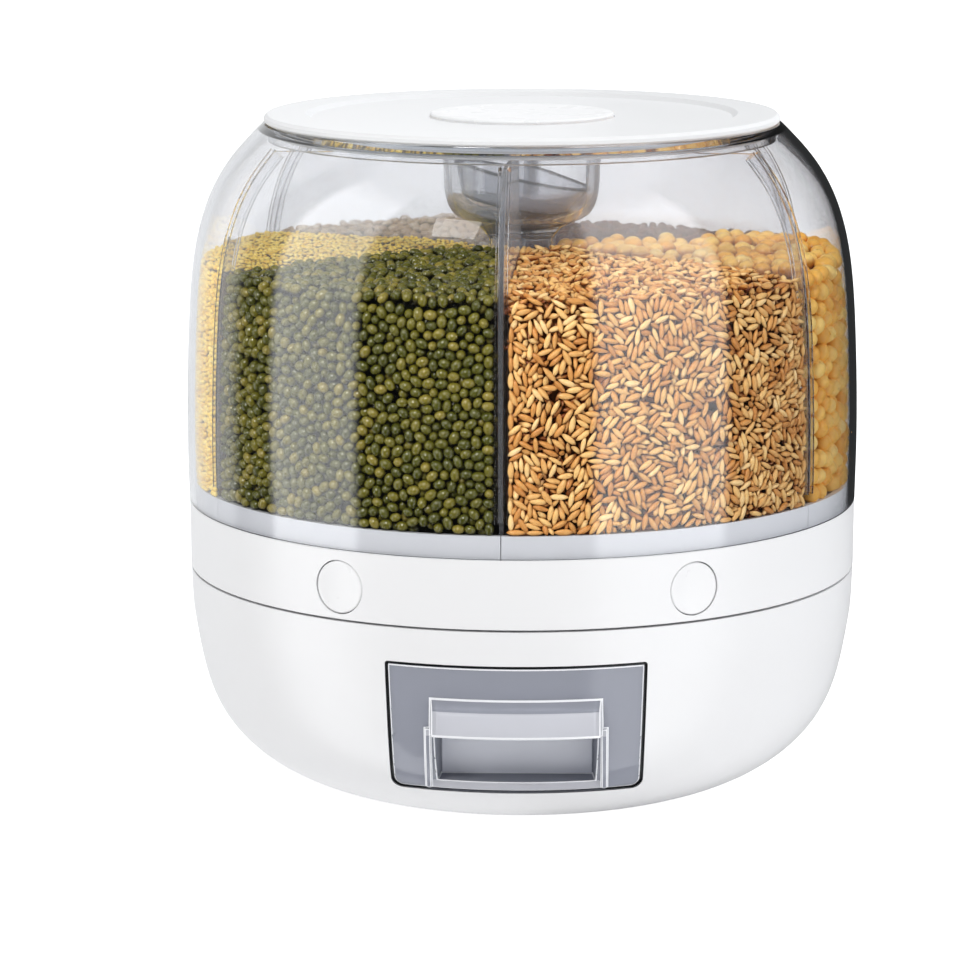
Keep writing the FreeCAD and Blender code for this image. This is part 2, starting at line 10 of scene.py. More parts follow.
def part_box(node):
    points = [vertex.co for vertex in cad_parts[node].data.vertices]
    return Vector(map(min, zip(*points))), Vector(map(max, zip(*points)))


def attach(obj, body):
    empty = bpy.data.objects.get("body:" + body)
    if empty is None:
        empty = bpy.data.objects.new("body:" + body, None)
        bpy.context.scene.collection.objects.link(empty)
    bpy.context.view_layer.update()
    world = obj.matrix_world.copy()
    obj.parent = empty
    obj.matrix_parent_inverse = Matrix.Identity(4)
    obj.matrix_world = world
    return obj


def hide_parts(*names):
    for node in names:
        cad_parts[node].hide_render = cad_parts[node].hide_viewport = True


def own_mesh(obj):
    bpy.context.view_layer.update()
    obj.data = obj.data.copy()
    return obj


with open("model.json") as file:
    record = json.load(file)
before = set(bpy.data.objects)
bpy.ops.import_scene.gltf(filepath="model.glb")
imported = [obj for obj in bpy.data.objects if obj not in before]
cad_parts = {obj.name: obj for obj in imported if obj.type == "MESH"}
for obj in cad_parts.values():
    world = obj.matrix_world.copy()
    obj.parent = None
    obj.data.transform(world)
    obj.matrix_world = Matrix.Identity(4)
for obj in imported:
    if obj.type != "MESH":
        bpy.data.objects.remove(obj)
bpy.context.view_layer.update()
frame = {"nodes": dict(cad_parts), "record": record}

NODES = frame["nodes"]
BODY = {}
for _b, _members in frame["record"]["behaviour"]["bodies"].items():
    for _n in _members:
        BODY[_n] = _b
scene = bpy.context.scene
MM = 0.001

# ------------------------------------------------------------------ driving dimensions (mm, as in the CAD)
Z_DOME = 107.2
WALL = 2.6
R_RING = 124.4
DOME_PROFILE = [(124.6, 107.2), (124.95, 125.0), (124.75, 150.0), (124.0, 170.0), (122.8, 188.0), (119.9, 206.5),
                (114.6, 222.0), (107.2, 234.0), (99.7, 242.4), (95.4, 246.6)]
DIVIDER_THETA0 = -2.4
BUTTON_THETA0 = 30.0
BUTTON_Z = 94.0


# ------------------------------------------------------------------ small geometry helpers
def spline(points, t0, t1, n):
    """n points along a smooth curve through points with the end directions t0 and t1."""
    p = np.array(points, float)
    s = np.concatenate([[0], np.cumsum(np.linalg.norm(np.diff(p, axis=0), axis=1))])
    m = len(p)
    h = np.diff(s)
    a = np.zeros((m, m))
    b = np.zeros((m, 2))
    a[0, 0] = a[-1, -1] = 1
    b[0] = np.array(t0, float) / np.linalg.norm(t0)
    b[-1] = np.array(t1, float) / np.linalg.norm(t1)
    for i in range(1, m - 1):
        a[i, i - 1] = h[i]
        a[i, i] = 2 * (h[i] + h[i - 1])
        a[i, i + 1] = h[i - 1]
        b[i] = 3 * (h[i] * (p[i] - p[i - 1]) / h[i - 1] + h[i - 1] * (p[i + 1] - p[i]) / h[i])
    d = np.linalg.solve(a, b)
    out, tan = [], []
    for q in np.linspace(0, s[-1], n):
        i = min(max(int(np.searchsorted(s, q) - 1), 0), m - 2)
        u = (q - s[i]) / h[i]
        h00, h10, h01, h11 = 2 * u ** 3 - 3 * u ** 2 + 1, u ** 3 - 2 * u ** 2 + u, -2 * u ** 3 + 3 * u ** 2, u ** 3 - u ** 2
        out.append(h00 * p[i] + h10 * h[i] * d[i] + h01 * p[i + 1] + h11 * h[i] * d[i + 1])
        g = ((6 * u * u - 6 * u) * (p[i] - p[i + 1]) / h[i] + (3 * u * u - 4 * u + 1) * d[i] + (3 * u * u - 2 * u) * d[i + 1])
        tan.append(g / np.linalg.norm(g))
    return np.array(out), np.array(tan)


def rounded(points, radii, seg=5):
    """Closed polygon with its corners rounded."""
    n = len(points)
    out = []
    for i in range(n):
        p0, p1, p2 = (np.array(points[(i + k) % n], float) for k in (-1, 0, 1))
        r = radii[i] if isinstance(radii, (list, tuple)) else radii
        a, b = p0 - p1, p2 - p1
        la, lb = np.linalg.norm(a), np.linalg.norm(b)
        if r <= 0 or la < 1e-6 or lb < 1e-6:
            out.append(tuple(p1))
            continue
        a, b = a / la, b / lb
        ang = math.acos(max(-1, min(1, float(a @ b))))
        if ang > 3.05:
            out.append(tuple(p1))
            continue
        t = min(r / math.tan(ang / 2), la * 0.48, lb * 0.48)
        q0, q2 = p1 + a * t, p1 + b * t
        for k in range(seg + 1):
            u = k / seg
            w = 2 * u * (1 - u) * math.cos((math.pi - ang) / 2)
            q = ((1 - u) ** 2 * q0 + w * p1 + u * u * q2) / ((1 - u) ** 2 + w + u * u)
            out.append(tuple(q))
    return out


def new_object(name, verts, faces, mat, scale=MM):
    me = bpy.data.meshes.new(name)
    me.from_pydata([tuple(float(c) * scale for c in v) for v in verts], [], faces)
    me.update()
    ob = bpy.data.objects.new(name, me)
    scene.collection.objects.link(ob)
    if mat:
        me.materials.append(mat)
    return ob


def smooth(ob, angle=35.0, weighted=True):
    me = ob.data
    me.polygons.foreach_set("use_smooth", [True] * len(me.polygons))
    bm = bmesh.new()
    bm.from_mesh(me)
    bmesh.ops.recalc_face_normals(bm, faces=bm.faces)
    lim = math.radians(angle)
    for e in bm.edges:
        e.smooth = len(e.link_faces) == 2 and e.calc_face_angle(0.0) < lim
    bm.to_mesh(me)
    bm.free()
    if weighted:
        m = ob.modifiers.new("normals", "WEIGHTED_NORMAL")
        m.keep_sharp = True
        m.weight = 60
    return ob


def lathe_data(profile, seg):
    """Closed (r, z) profile turned round Z: vertices and faces."""
    verts, faces, rows = [], [], []
    for r, z in profile:
        if r < 1e-6:
            rows.append([len(verts)])
            verts.append((0, 0, z))
        else:
            row = []
            for k in range(seg):
                a = 2 * math.pi * k / seg
                row.append(len(verts))
                verts.append((r * math.cos(a), r * math.sin(a), z))
            rows.append(row)
    n = len(rows)
    for i in range(n):
        a, b = rows[i], rows[(i + 1) % n]
        if len(a) == 1 and len(b) == 1:
            continue
        for k in range(seg):
            k2 = (k + 1) % seg
            if len(a) == 1:
                faces.append((a[0], b[k2], b[k]))
            elif len(b) == 1:
                faces.append((a[k], a[k2], b[0]))
            else:
                faces.append((a[k], a[k2], b[k2], b[k]))
    return verts, faces


def lathe(name, profile, mat, seg=192, angle=35.0):
    v, f = lathe_data(profile, seg)
    return smooth(new_object(name, v, f, mat), angle)


def at(theta, r):
    a = math.radians(theta)
    return r * math.sin(a), -r * math.cos(a)


def join_meshes(name, parts, mat, angle=35.0, weighted=True):
    verts, faces = [], []
    for v, f in parts:
        o = len(verts)
        verts += list(v)
        faces += [tuple(i + o for i in q) for q in f]
    ob = new_object(name, verts, faces, mat)
    return smooth(ob, angle, weighted)


def place(ob, body, nodes=()):
    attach(ob, body)
    if nodes:
        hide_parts(*nodes)
    return ob


def cad_piece(node, mat, angle=30.0, name=None):
    """A copy of a CAD node with smooth shading."""
    me = NODES[node].data.copy()
    ob = bpy.data.objects.new(name or node + "_look", me)
    scene.collection.objects.link(ob)
    bm = bmesh.new()
    bm.from_mesh(me)
    bmesh.ops.remove_doubles(bm, verts=bm.verts, dist=2e-6)
    bmesh.ops.dissolve_degenerate(bm, dist=1e-7, edges=bm.edges)
    bm.to_mesh(me)
    bm.free()
    me.materials.clear()
    me.materials.append(mat)
    smooth(ob, angle)
    return place(ob, BODY[node], [node])


# ------------------------------------------------------------------ node helpers
class Tree:
    def __init__(self, tree):
        self.t = tree
        tree.nodes.clear()

    def node(self, kind, **props):
        n = self.t.nodes.new(kind)
        for k, v in props.items():
            setattr(n, k, v)
        return n

    def link(self, a, b):
        self.t.links.new(a, b)

    def math(self, op, a, b=None, c=None, clamp=False):
        n = self.node("ShaderNodeMath", operation=op, use_clamp=clamp)
        for i, v in enumerate((a, b, c)):
            if v is None:
                continue
            if isinstance(v, (int, float)):
                n.inputs[i].default_value = v
            else:
                self.link(v, n.inputs[i])
        return n.outputs[0]

    def step(self, v, a, b, lo=0.0, hi=1.0):
        n = self.node("ShaderNodeMapRange", interpolation_type="SMOOTHSTEP")
        self.link(v, n.inputs["Value"])
        n.inputs["From Min"].default_value = a
        n.inputs["From Max"].default_value = b
        n.inputs["To Min"].default_value = lo
        n.inputs["To Max"].default_value = hi
        return n.outputs["Result"]

    def band(self, v, a, b, soft):
        return self.math("MULTIPLY", self.step(v, a - soft, a + soft), self.step(v, b - soft, b + soft, 1.0, 0.0))

    def noise(self, vec, scale, detail=3.0, rough=0.55):
        n = self.node("ShaderNodeTexNoise")
        n.inputs["Scale"].default_value = scale
        n.inputs["Detail"].default_value = detail
        n.inputs["Roughness"].default_value = rough
        self.link(vec, n.inputs["Vector"])
        return n.outputs["Fac"]

    def ramp(self, fac, stops):
        n = self.node("ShaderNodeValToRGB")
        cr = n.color_ramp
        while len(cr.elements) < len(stops):
            cr.elements.new(0.5)
        for e, (p, c) in zip(cr.elements, stops):
            e.position = p
            e.color = (*c, 1.0)
        self.link(fac, n.inputs["Fac"])
        return n.outputs["Color"]

    def mix(self, fac, a, b, blend="MIX"):
        n = self.node("ShaderNodeMix", data_type="RGBA", blend_type=blend)
        for sock, v in ((n.inputs[0], fac), (n.inputs[6], a), (n.inputs[7], b)):
            if isinstance(v, (int, float)):
                sock.default_value = v
            elif isinstance(v, (tuple, list)):
                sock.default_value = (*v, 1.0)
            else:
                self.link(v, sock)
        return n.outputs[2]

    def bump(self, height, strength, distance):
        n = self.node("ShaderNodeBump")
        n.inputs["Strength"].default_value = strength
        n.inputs["Distance"].default_value = distance
        self.link(height, n.inputs["Height"])
        return n.outputs["Normal"]


def srgb(r, g, b):
    def f(c):
        c /= 255.0
        return c / 12.92 if c <= 0.04045 else ((c + 0.055) / 1.055) ** 2.4
    return (f(r), f(g), f(b))


def scaled(c, k):
    return tuple(min(1.0, x * k) for x in c)


def material(name):
    m = bpy.data.materials.new(name)
    m.use_nodes = True
    t = Tree(m.node_tree)
    out = t.node("ShaderNodeOutputMaterial")
    p = t.node("ShaderNodeBsdfPrincipled")
    t.link(p.outputs[0], out.inputs["Surface"])
    co = t.node("ShaderNodeTexCoord").outputs["Object"]
    return m, t, p, out, co


def plastic(name, color, rough=0.34, spread=0.05, grain=2600.0, grain_strength=0.05, vary=0.02, metallic=0.0, specular=0.5):
    m, t, p, out, co = material(name)
    big = t.noise(co, 18.0, 3.0)
    fine = t.noise(co, grain, 2.0)
    t.link(t.ramp(big, [(0.25, scaled(color, 1.0 - vary)), (0.75, scaled(color, 1.0 + vary * 0.4))]), p.inputs["Base Color"])
    t.link(t.step(t.noise(co, 140.0, 4.0), 0.2, 0.8, rough - spread, rough + spread), p.inputs["Roughness"])
    t.link(t.bump(fine, grain_strength, 0.00004), p.inputs["Normal"])
    p.inputs["Metallic"].default_value = metallic
    p.inputs["Specular IOR Level"].default_value = specular
    p.inputs["IOR"].default_value = 1.46
    return m


def clear(name, tint=(1, 1, 1), rough=0.02, ior=1.46, wave=0.02, veil=0.0, veil_color=(0.9, 0.92, 0.95), absorb=None, shadow=(0.93, 0.94, 0.96)):
    """Clear moulded plastic: refracts, with a faint flow mark in the surface, and lets most of the light through to what is inside."""
    m, t, p, out, co = material(name)
    p.inputs["Base Color"].default_value = (*tint, 1.0)
    p.inputs["Transmission Weight"].default_value = 1.0
    p.inputs["IOR"].default_value = ior
    t.link(t.step(t.noise(co, 60.0, 3.0), 0.3, 0.7, rough * 0.6, rough * 1.5), p.inputs["Roughness"])
    if wave:
        t.link(t.bump(t.noise(co, 22.0, 1.0), wave, 0.002), p.inputs["Normal"])
    surface = p.outputs[0]
    if veil:
        d = t.node("ShaderNodeBsdfDiffuse")
        d.inputs["Color"].default_value = (*veil_color, 1.0)
        x = t.node("ShaderNodeMixShader")
        x.inputs[0].default_value = veil
        t.link(surface, x.inputs[1])
        t.link(d.outputs[0], x.inputs[2])
        surface = x.outputs[0]
    lp = t.node("ShaderNodeLightPath")
    tr = t.node("ShaderNodeBsdfTransparent")
    tr.inputs["Color"].default_value = (*shadow, 1.0)
    x = t.node("ShaderNodeMixShader")
    t.link(t.math("MAXIMUM", lp.outputs["Is Shadow Ray"], lp.outputs["Is Diffuse Ray"]), x.inputs[0])
    t.link(surface, x.inputs[1])
    t.link(tr.outputs[0], x.inputs[2])
    t.link(x.outputs[0], out.inputs["Surface"])
    if absorb:
        v = t.node("ShaderNodeVolumeAbsorption")
        v.inputs["Color"].default_value = (*absorb[0], 1.0)
        v.inputs["Density"].default_value = absorb[1]
        t.link(v.outputs[0], out.inputs["Volume"])
    return m


def grain_mat(name, stops, rough=0.35, gloss=0.5, tips=None, hilum=None, fine=900.0, fine_amount=0.35, bump=0.25, sss=0.0, painted_shade=(0.10, 0.09, 0.08)):
    """Loose grain: every grain its own tone, mottled, with its tips or its scar in another colour, and painted shade
    that darkens it with the depth stored on its vertices.
    """
    m, t, p, out, co = material(name)
    rnd = t.node("ShaderNodeAttribute", attribute_name="g_rand").outputs["Fac"]
    along = t.node("ShaderNodeAttribute", attribute_name="g_u").outputs["Fac"]
    side = t.node("ShaderNodeAttribute", attribute_name="g_v").outputs["Fac"]
    deep = t.node("ShaderNodeAttribute", attribute_name="g_painted_shade").outputs["Fac"]
    mott = t.noise(co, fine, 3.0)
    fac = t.math("ADD", t.math("MULTIPLY", rnd, 1.0 - fine_amount), t.math("MULTIPLY", mott, fine_amount))
    col = t.ramp(fac, stops)
    if tips:
        col = t.mix(t.step(t.math("ABSOLUTE", along), tips[1], 1.0, 0.0, tips[2]), col, tips[0])
    if hilum:
        spot = t.math("MULTIPLY", t.step(side, hilum[1], min(1.0, hilum[1] + 0.05)), t.step(t.math("ABSOLUTE", along), hilum[2], hilum[2] + 0.12, 1.0, 0.0))
        col = t.mix(spot, col, hilum[0])
    # painted shade: the colour is multiplied by the shade colour the deeper the vertex lies, standing for the shade in
    # the gaps between grains
    col = t.mix(t.step(deep, 0.25, 1.0), col, t.mix(1.0, col, painted_shade, "MULTIPLY"))
    t.link(col, p.inputs["Base Color"])
    t.link(t.step(mott, 0.2, 0.8, rough - 0.08, rough + 0.12), p.inputs["Roughness"])
    t.link(t.bump(t.noise(co, fine * 2.2, 2.0), bump, 0.0002), p.inputs["Normal"])
    p.inputs["Specular IOR Level"].default_value = gloss
    if sss:
        p.inputs["Subsurface Weight"].default_value = sss
        p.inputs["Subsurface Radius"].default_value = (0.0012, 0.0008, 0.0004)
        p.inputs["Subsurface Scale"].default_value = 1.0
    return m


# ------------------------------------------------------------------ materials
WHITE = plastic("white_plastic", (0.81, 0.81, 0.82), 0.33, 0.04, vary=0.012)
BUTTON = plastic("button_plastic", (0.81, 0.81, 0.82), 0.30, 0.04, vary=0.012)
INNER = plastic("inner_plastic", srgb(214, 217, 222), 0.45, 0.06, 1800.0, 0.12)
TRAY = plastic("tray_plastic", srgb(247, 248, 251), 0.36, 0.05, 2000.0, 0.08)
GATE = plastic("gate_plastic", srgb(206, 209, 215), 0.42, 0.06, 1800.0, 0.12)
BEARING = plastic("bearing_plastic", srgb(176, 180, 186), 0.48, 0.06, 1800.0, 0.12)
SEAL = plastic("seal_silicone", srgb(226, 229, 232), 0.55, 0.06, 1500.0, 0.1)
RUBBER = plastic("foot_rubber", srgb(92, 92, 95), 0.78, 0.08, 1300.0, 0.4, 0.08)
CLEAR = clear("clear_plastic", (0.985, 0.985, 0.988), 0.012, wave=0.03, absorb=((0.30, 0.32, 0.38), 62.0), shadow=(0.98, 0.982, 0.985))
INSERT = clear("clear_insert", (0.975, 0.978, 0.985), 0.02, wave=0.03, veil=0.13, veil_color=(0.82, 0.83, 0.85), absorb=((0.40, 0.45, 0.55), 9.0))
LID = clear("lid_plastic", (0.98, 0.985, 0.99), 0.16, wave=0.0, veil=0.88, veil_color=(0.80, 0.802, 0.81))
DISC = clear("lid_disc", (0.98, 0.985, 0.99), 0.3, wave=0.0, veil=0.90, veil_color=(0.85, 0.851, 0.857))
SMOKE = clear("smoke_plastic", (0.84, 0.85, 0.90), 0.05, wave=0.0, veil=0.50, veil_color=srgb(184, 187, 198), absorb=((0.5, 0.52, 0.62), 60.0), shadow=(0.55, 0.56, 0.60))
# lighter copies of the smoke: painted light for faces of the drawer front that catch more light
SMOKE_PAINTED_LIT = clear("smoke_painted_lit", (0.95, 0.95, 0.97), 0.05, wave=0.0, veil=0.66, veil_color=srgb(211, 212, 219), shadow=(0.7, 0.71, 0.74))
SMOKE_PAINTED_LIT_POCKET = clear("smoke_pocket_painted_lit", (0.92, 0.93, 0.96), 0.05, wave=0.0, veil=0.93, veil_color=srgb(246, 248, 255), shadow=(0.7, 0.71, 0.74))
# near-white opaque edge material: painted highlight along the drawer front's edges
SMOKE_EDGE_PAINTED_HIGHLIGHT = plastic("smoke_edge_painted_highlight", srgb(243, 244, 248), 0.16, 0.03, 2600.0, 0.02, vary=0.01, specular=0.8)
# near-black opaque material: painted shade in the gap round the drawer front
SMOKE_GAP_PAINTED_SHADE = plastic("smoke_gap_painted_shade", srgb(22, 23, 27), 0.35, 0.04, 2600.0, 0.02)
CUP = clear("cup_smoke", (0.84, 0.85, 0.88), 0.06, wave=0.0, veil=0.18, veil_color=srgb(178, 181, 190), shadow=(0.55, 0.56, 0.6))
# near-black opaque material: painted shade along the measuring cup's rim and bottom
CUP_PAINTED_DARK_EDGE = plastic("cup_edge_painted_shade", srgb(30, 31, 36), 0.22, 0.04, 2600.0, 0.02)
STEEL = plastic("plated_steel", (0.62, 0.62, 0.63), 0.30, 0.08, 2600.0, 0.1, 0.05, 1.0)
BALLS = plastic("polished_ball", (0.72, 0.72, 0.73), 0.10, 0.03, 2600.0, 0.02, 0.03, 1.0)


# ------------------------------------------------------------------ camera
cam_data = bpy.data.cameras.new("camera")
cam_data.sensor_width = 36.0
cam_data.lens = 3878.1 * 36.0 / 960.0
cam_data.clip_start, cam_data.clip_end = 0.02, 60.0
cam = bpy.data.objects.new("camera", cam_data)
scene.collection.objects.link(cam)
scene.camera = cam
eye = Vector((24.98, -1431.05, 390.0)) * MM
target = Vector((0, 0, 0.125))
fwd = (target - eye).normalized()
right = fwd.cross(Vector((0, 0, 1))).normalized()
up = right.cross(fwd)
aim = (fwd * 3878.1 - right * 41.8 - up * 35.45).normalized()
r2 = aim.cross(Vector((0, 0, 1)))
r2 = (right - aim * right.dot(aim)).normalized()
u2 = r2.cross(aim)
rot = Matrix((r2, u2, -aim)).transposed()
cam.matrix_world = Matrix.Translation(eye) @ rot.to_4x4()


# ------------------------------------------------------------------ studio: soft boxes all round in the world, one key above, pale floor
world = bpy.data.worlds.new("studio")
scene.world = world
world.use_nodes = True
t = Tree(world.node_tree)
sep = t.node("ShaderNodeSeparateXYZ")
t.link(t.node("ShaderNodeTexCoord").outputs["Generated"], sep.inputs[0])
dx, dy, dz = sep.outputs
az = t.math("MULTIPLY", t.math("ARCTAN2", dx, t.math("MULTIPLY", dy, -1.0)), 180.0 / math.pi)
el = t.math("MULTIPLY", t.math("ARCSINE", dz), 180.0 / math.pi)
lp = t.node("ShaderNodeLightPath")
mirror = t.math("MAXIMUM", lp.outputs["Is Glossy Ray"], lp.outputs["Is Transmission Ray"])
left_box, right_box = t.band(az, -93.0, -57.0, 2.5), t.band(az, 26.0, 74.0, 3.0)
boxes = t.math("ADD", left_box, right_box)
# what lights the room
soft = t.math("ADD", 0.16, t.math("MULTIPLY", boxes, t.step(el, 40.0, 60.0, 0.50, 0.0)))
soft = t.math("ADD", soft, t.step(el, 38.0, 60.0, 0.0, 0.86))
soft = t.math("ADD", soft, t.math("MULTIPLY", t.band(az, 62.0, 168.0, 12.0), t.step(el, 40.0, 60.0, 1.75, 0.0)))
# what a polished surface sees: the two tall boxes, an overhead box, a pale wall back left, the rest of the room dim
seen = t.math("MULTIPLY", t.math("ADD", t.math("MULTIPLY", left_box, 2.9), t.math("MULTIPLY", right_box, 2.5)), t.step(el, 42.0, 60.0, 1.0, 0.0))
seen = t.math("ADD", seen, t.step(el, 50.0, 62.0, 0.0, 0.75))
seen = t.math("ADD", seen, t.math("MULTIPLY", t.band(az, -190.0, -114.0, 5.0), 1.0))
seen = t.math("ADD", seen, 0.035)
total = t.math("ADD", t.math("MULTIPLY", soft, t.math("SUBTRACT", 1.0, mirror)), t.math("MULTIPLY", seen, mirror))
bg = t.node("ShaderNodeBackground")
bg.inputs["Color"].default_value = (0.97, 0.985, 1.0, 1.0)
t.link(total, bg.inputs["Strength"])
wo = t.node("ShaderNodeOutputWorld")
t.link(bg.outputs[0], wo.inputs["Surface"])

key = bpy.data.lights.new("key", "AREA")
key.shape = "RECTANGLE"
key.size, key.size_y = 0.34, 0.26
key.energy = 7.6
key.color = (1.0, 0.985, 0.96)
key_ob = bpy.data.objects.new("key", key)
scene.collection.objects.link(key_ob)
key_ob.location = (-0.45, -0.95, 1.05)
key_ob.rotation_euler = (Vector((0, 0, 0.12)) - key_ob.location).to_track_quat("-Z", "Y").to_euler()
key_ob.visible_glossy = False
glint = bpy.data.lights.new("glint", "AREA")
glint.shape = "DISK"
glint.size = 0.11
glint.energy = 13.0
glint.color = (1.0, 0.99, 0.97)
glint_ob = bpy.data.objects.new("glint", glint)
scene.collection.objects.link(glint_ob)
glint_ob.location = (-0.40, -1.00, 0.85)
glint_ob.rotation_euler = (Vector((0, 0, 0.15)) - glint_ob.location).to_track_quat("-Z", "Y").to_euler()
GRAIN_SET = bpy.data.collections.new("grain_lit")
glint_ob.light_linking.receiver_collection = GRAIN_SET

m, t, p, out, co = material("floor_paper")
t.link(t.ramp(t.noise(co, 3.0, 2.0), [(0.3, (0.80, 0.80, 0.805)), (0.7, (0.83, 0.83, 0.833))]), p.inputs["Base Color"])
p.inputs["Roughness"].default_value = 0.9
p.inputs["Specular IOR Level"].default_value = 0.1
p.inputs["Emission Color"].default_value = (1, 1, 1, 1)
flp = t.node("ShaderNodeLightPath")
mirrored = t.math("GREATER_THAN", flp.outputs["Glossy Depth"], 0.5)
t.link(t.math("ADD", 0.28, t.math("MULTIPLY", t.math("MAXIMUM", flp.outputs["Is Camera Ray"], flp.outputs["Is Transmission Ray"]), 0.42)), p.inputs["Emission Strength"])
clear_way = t.node("ShaderNodeBsdfTransparent")
through = t.node("ShaderNodeMixShader")
t.link(mirrored, through.inputs[0])
t.link(p.outputs[0], through.inputs[1])
t.link(clear_way.outputs[0], through.inputs[2])
t.link(through.outputs[0], out.inputs["Surface"])
gv, gf = [], []
for i in range(41):
    for j in range(41):
        gv.append(((i - 20) * 0.5, (j - 20) * 0.5, 0.0))
for i in range(40):
    for j in range(40):
        a = i * 41 + j
        gf.append((a, a + 41, a + 42, a + 1))
floor = new_object("floor", gv, gf, m, 1.0)
floor.visible_glossy = False

scene.view_settings.view_transform = "Standard"
scene.view_settings.look = "None"
scene.view_settings.exposure = 0.0
scene.cycles.max_bounces = 24
scene.cycles.transmission_bounces = 20
scene.cycles.transparent_max_bounces = 40
scene.cycles.glossy_bounces = 5
scene.cycles.diffuse_bounces = 4
scene.cycles.sample_clamp_indirect = 6.0
scene.cycles.use_denoising = True
scene.cycles.caustics_refractive = False
scene.cycles.caustics_reflective = False


# ------------------------------------------------------------------ clear dome
dome_out, dome_tan = spline(DOME_PROFILE, (0.02, 1.0), (-0.75, 0.66), 110)
dome_in = np.array([(p[0] - tt[1] * WALL, p[1] + tt[0] * WALL) for p, tt in zip(dome_out, dome_tan)])
dome_in = dome_in[dome_in[:, 1] < 243.4]
dome_in[0] = (DOME_PROFILE[0][0] - WALL, Z_DOME)
IN_Z, IN_R = dome_in[:, 1], dome_in[:, 0]
top_in = dome_in[-1]
outer = [tuple(p) for p in dome_out]
foot = rounded([outer[3], outer[0], tuple(dome_in[0]), tuple(dome_in[3])], [0, 0.35, 0.35, 0], 4)[1:-1]
neck = rounded([outer[-3], (DOME_PROFILE[-1][0], 246.6), (91.0, 246.6), (91.0, 239.7), (93.4, 239.7), (93.4, float(top_in[1])), tuple(top_in), tuple(dome_in[-3])],
               [0, 0.5, 0.4, 0.5, 0.5, 0.8, 0.3, 0], 4)[1:-1]
prof = [outer[i] for i in range(2, len(outer) - 2)] + neck + [tuple(p) for p in dome_in[::-1][2:-2]] + foot[::-1]
dome_parts = [lathe_data(prof, 288)]


def offset_in(dist, u0, u1, n):
    """Points along the dome's inner face moved inwards by dist."""
    tt = np.gradient(dome_in, axis=0)
    tt /= np.linalg.norm(tt, axis=1)[:, None]
    q = np.array([(p[0] - g[1] * dist, p[1] + g[0] * dist) for p, g in zip(dome_in, tt)])
    s = np.linspace(0, 1, len(q))
    u = np.linspace(u0, u1, n)
    return np.stack([np.interp(u, s, q[:, 0]), np.interp(u, s, q[:, 1])], 1)


def slab(outline, y0, y1, theta, edge=0.25):
    """A flat plate with the (r, z) outline between y0 and y1, its edges eased, turned to theta."""
    n = len(outline)
    pts = np.array(outline, float)
    c = pts.mean(0)
    nx = np.roll(pts, -1, 0) - np.roll(pts, 1, 0)
    nrm = np.stack([nx[:, 1], -nx[:, 0]], 1)
    nrm /= np.maximum(np.linalg.norm(nrm, axis=1), 1e-9)[:, None]
    area = 0.5 * np.sum(pts[:, 0] * np.roll(pts[:, 1], -1) - np.roll(pts[:, 0], -1) * pts[:, 1])
    if area < 0:
        nrm = -nrm
    inner = pts - nrm * edge
    layers = [(inner, y0), (pts, y0 + edge), (pts, y1 - edge), (inner, y1)]
    a = math.radians(theta - 90.0)
    ca, sa = math.cos(a), math.sin(a)
    verts = []
    for pl, y in layers:
        for r, z in pl:
            verts.append((r * ca - y * sa, r * sa + y * ca, z))
    faces = []
    for k in range(3):
        for i in range(n):
            j = (i + 1) % n
            faces.append((k * n + i, k * n + j, (k + 1) * n + j, (k + 1) * n + i))
    return verts, faces, n


def strip_plate(left, right, y0, y1, theta, edge=0.25):
    """slab() for an outline that is two rails with the same count: its faces are strips between them."""
    outline = [tuple(p) for p in left] + [tuple(p) for p in right[::-1]]
    v, f, n = slab(outline, y0, y1, theta, edge)
    m2 = len(left)
    for base, flip in ((0, False), (3 * n, True)):
        for i in range(m2 - 1):
            q = (base + i, base + i + 1, base + n - 2 - i, base + n - 1 - i)
            f.append(q if flip else q[::-1])
    return v, f


rib_o, rib_i = offset_in(0.0, 0.085, 0.97, 60), offset_in(4.0, 0.085, 0.97, 60)
for k in range(6):
    for y0 in (1.0, -2.2):
        dome_parts.append(strip_plate(rib_o, rib_i, y0, y0 + 1.2, DIVIDER_THETA0 + 60.0 * k, 0.22))
dome = join_meshes("clear_dome_shell", dome_parts, CLEAR, 35.0)
place(dome, "carousel", ["clear_dome"])

# ------------------------------------------------------------------ divider insert: six walls, column and bowl
DIV_TOP = 239.2
wall_o = offset_in(0.6, 0.075, 0.955, 60)
wall_o = wall_o[wall_o[:, 1] < DIV_TOP - 2.0]
hi = wall_o[-1]
top_r = hi[0] - (DIV_TOP - hi[1]) * 0.95
wall_o = np.vstack([wall_o, [(top_r, DIV_TOP)]])


def floor_z(r):
    return np.interp(r, [0, 17.6, 74.0, 88.0, 119.4, 119.6, 125.0], [114.0, 114.0, 106.4, 106.4, 115.0, 115.4, 115.4])


bo, _ = spline([(13.0, 204.0), (17.0, 208.6), (24.5, 212.0), (28.3, 218.5), (29.2, 228.0), (30.0, 240.8)], (0.5, 0.8), (0.05, 1.0), 30)
bi, _ = spline([(11.0, 210.6), (22.5, 213.4), (26.5, 219.0), (27.4, 228.0), (28.2, 240.8)], (1.0, 0.05), (0.05, 1.0), 26)
insert_parts = [lathe_data([(11.2, 114.4), (13.0, 114.4), (13.0, 203.6)] + [tuple(p) for p in bo[:-1]] + [(29.95, 240.4), (29.5, 240.8), (28.7, 240.8), (28.25, 240.4)] +
                           [tuple(p) for p in bi[::-1][1:]] + [(0, 210.2), (0, 208.2), (9.0, 206.6), (11.2, 205.4)], 96)]
col_z = [115.1, 150.0, 204.0, 208.6, 212.0, 218.5, 228.0, DIV_TOP]
col_r = [13.0, 13.0, 13.0, 17.0, 24.5, 28.3, 29.2, 29.9]
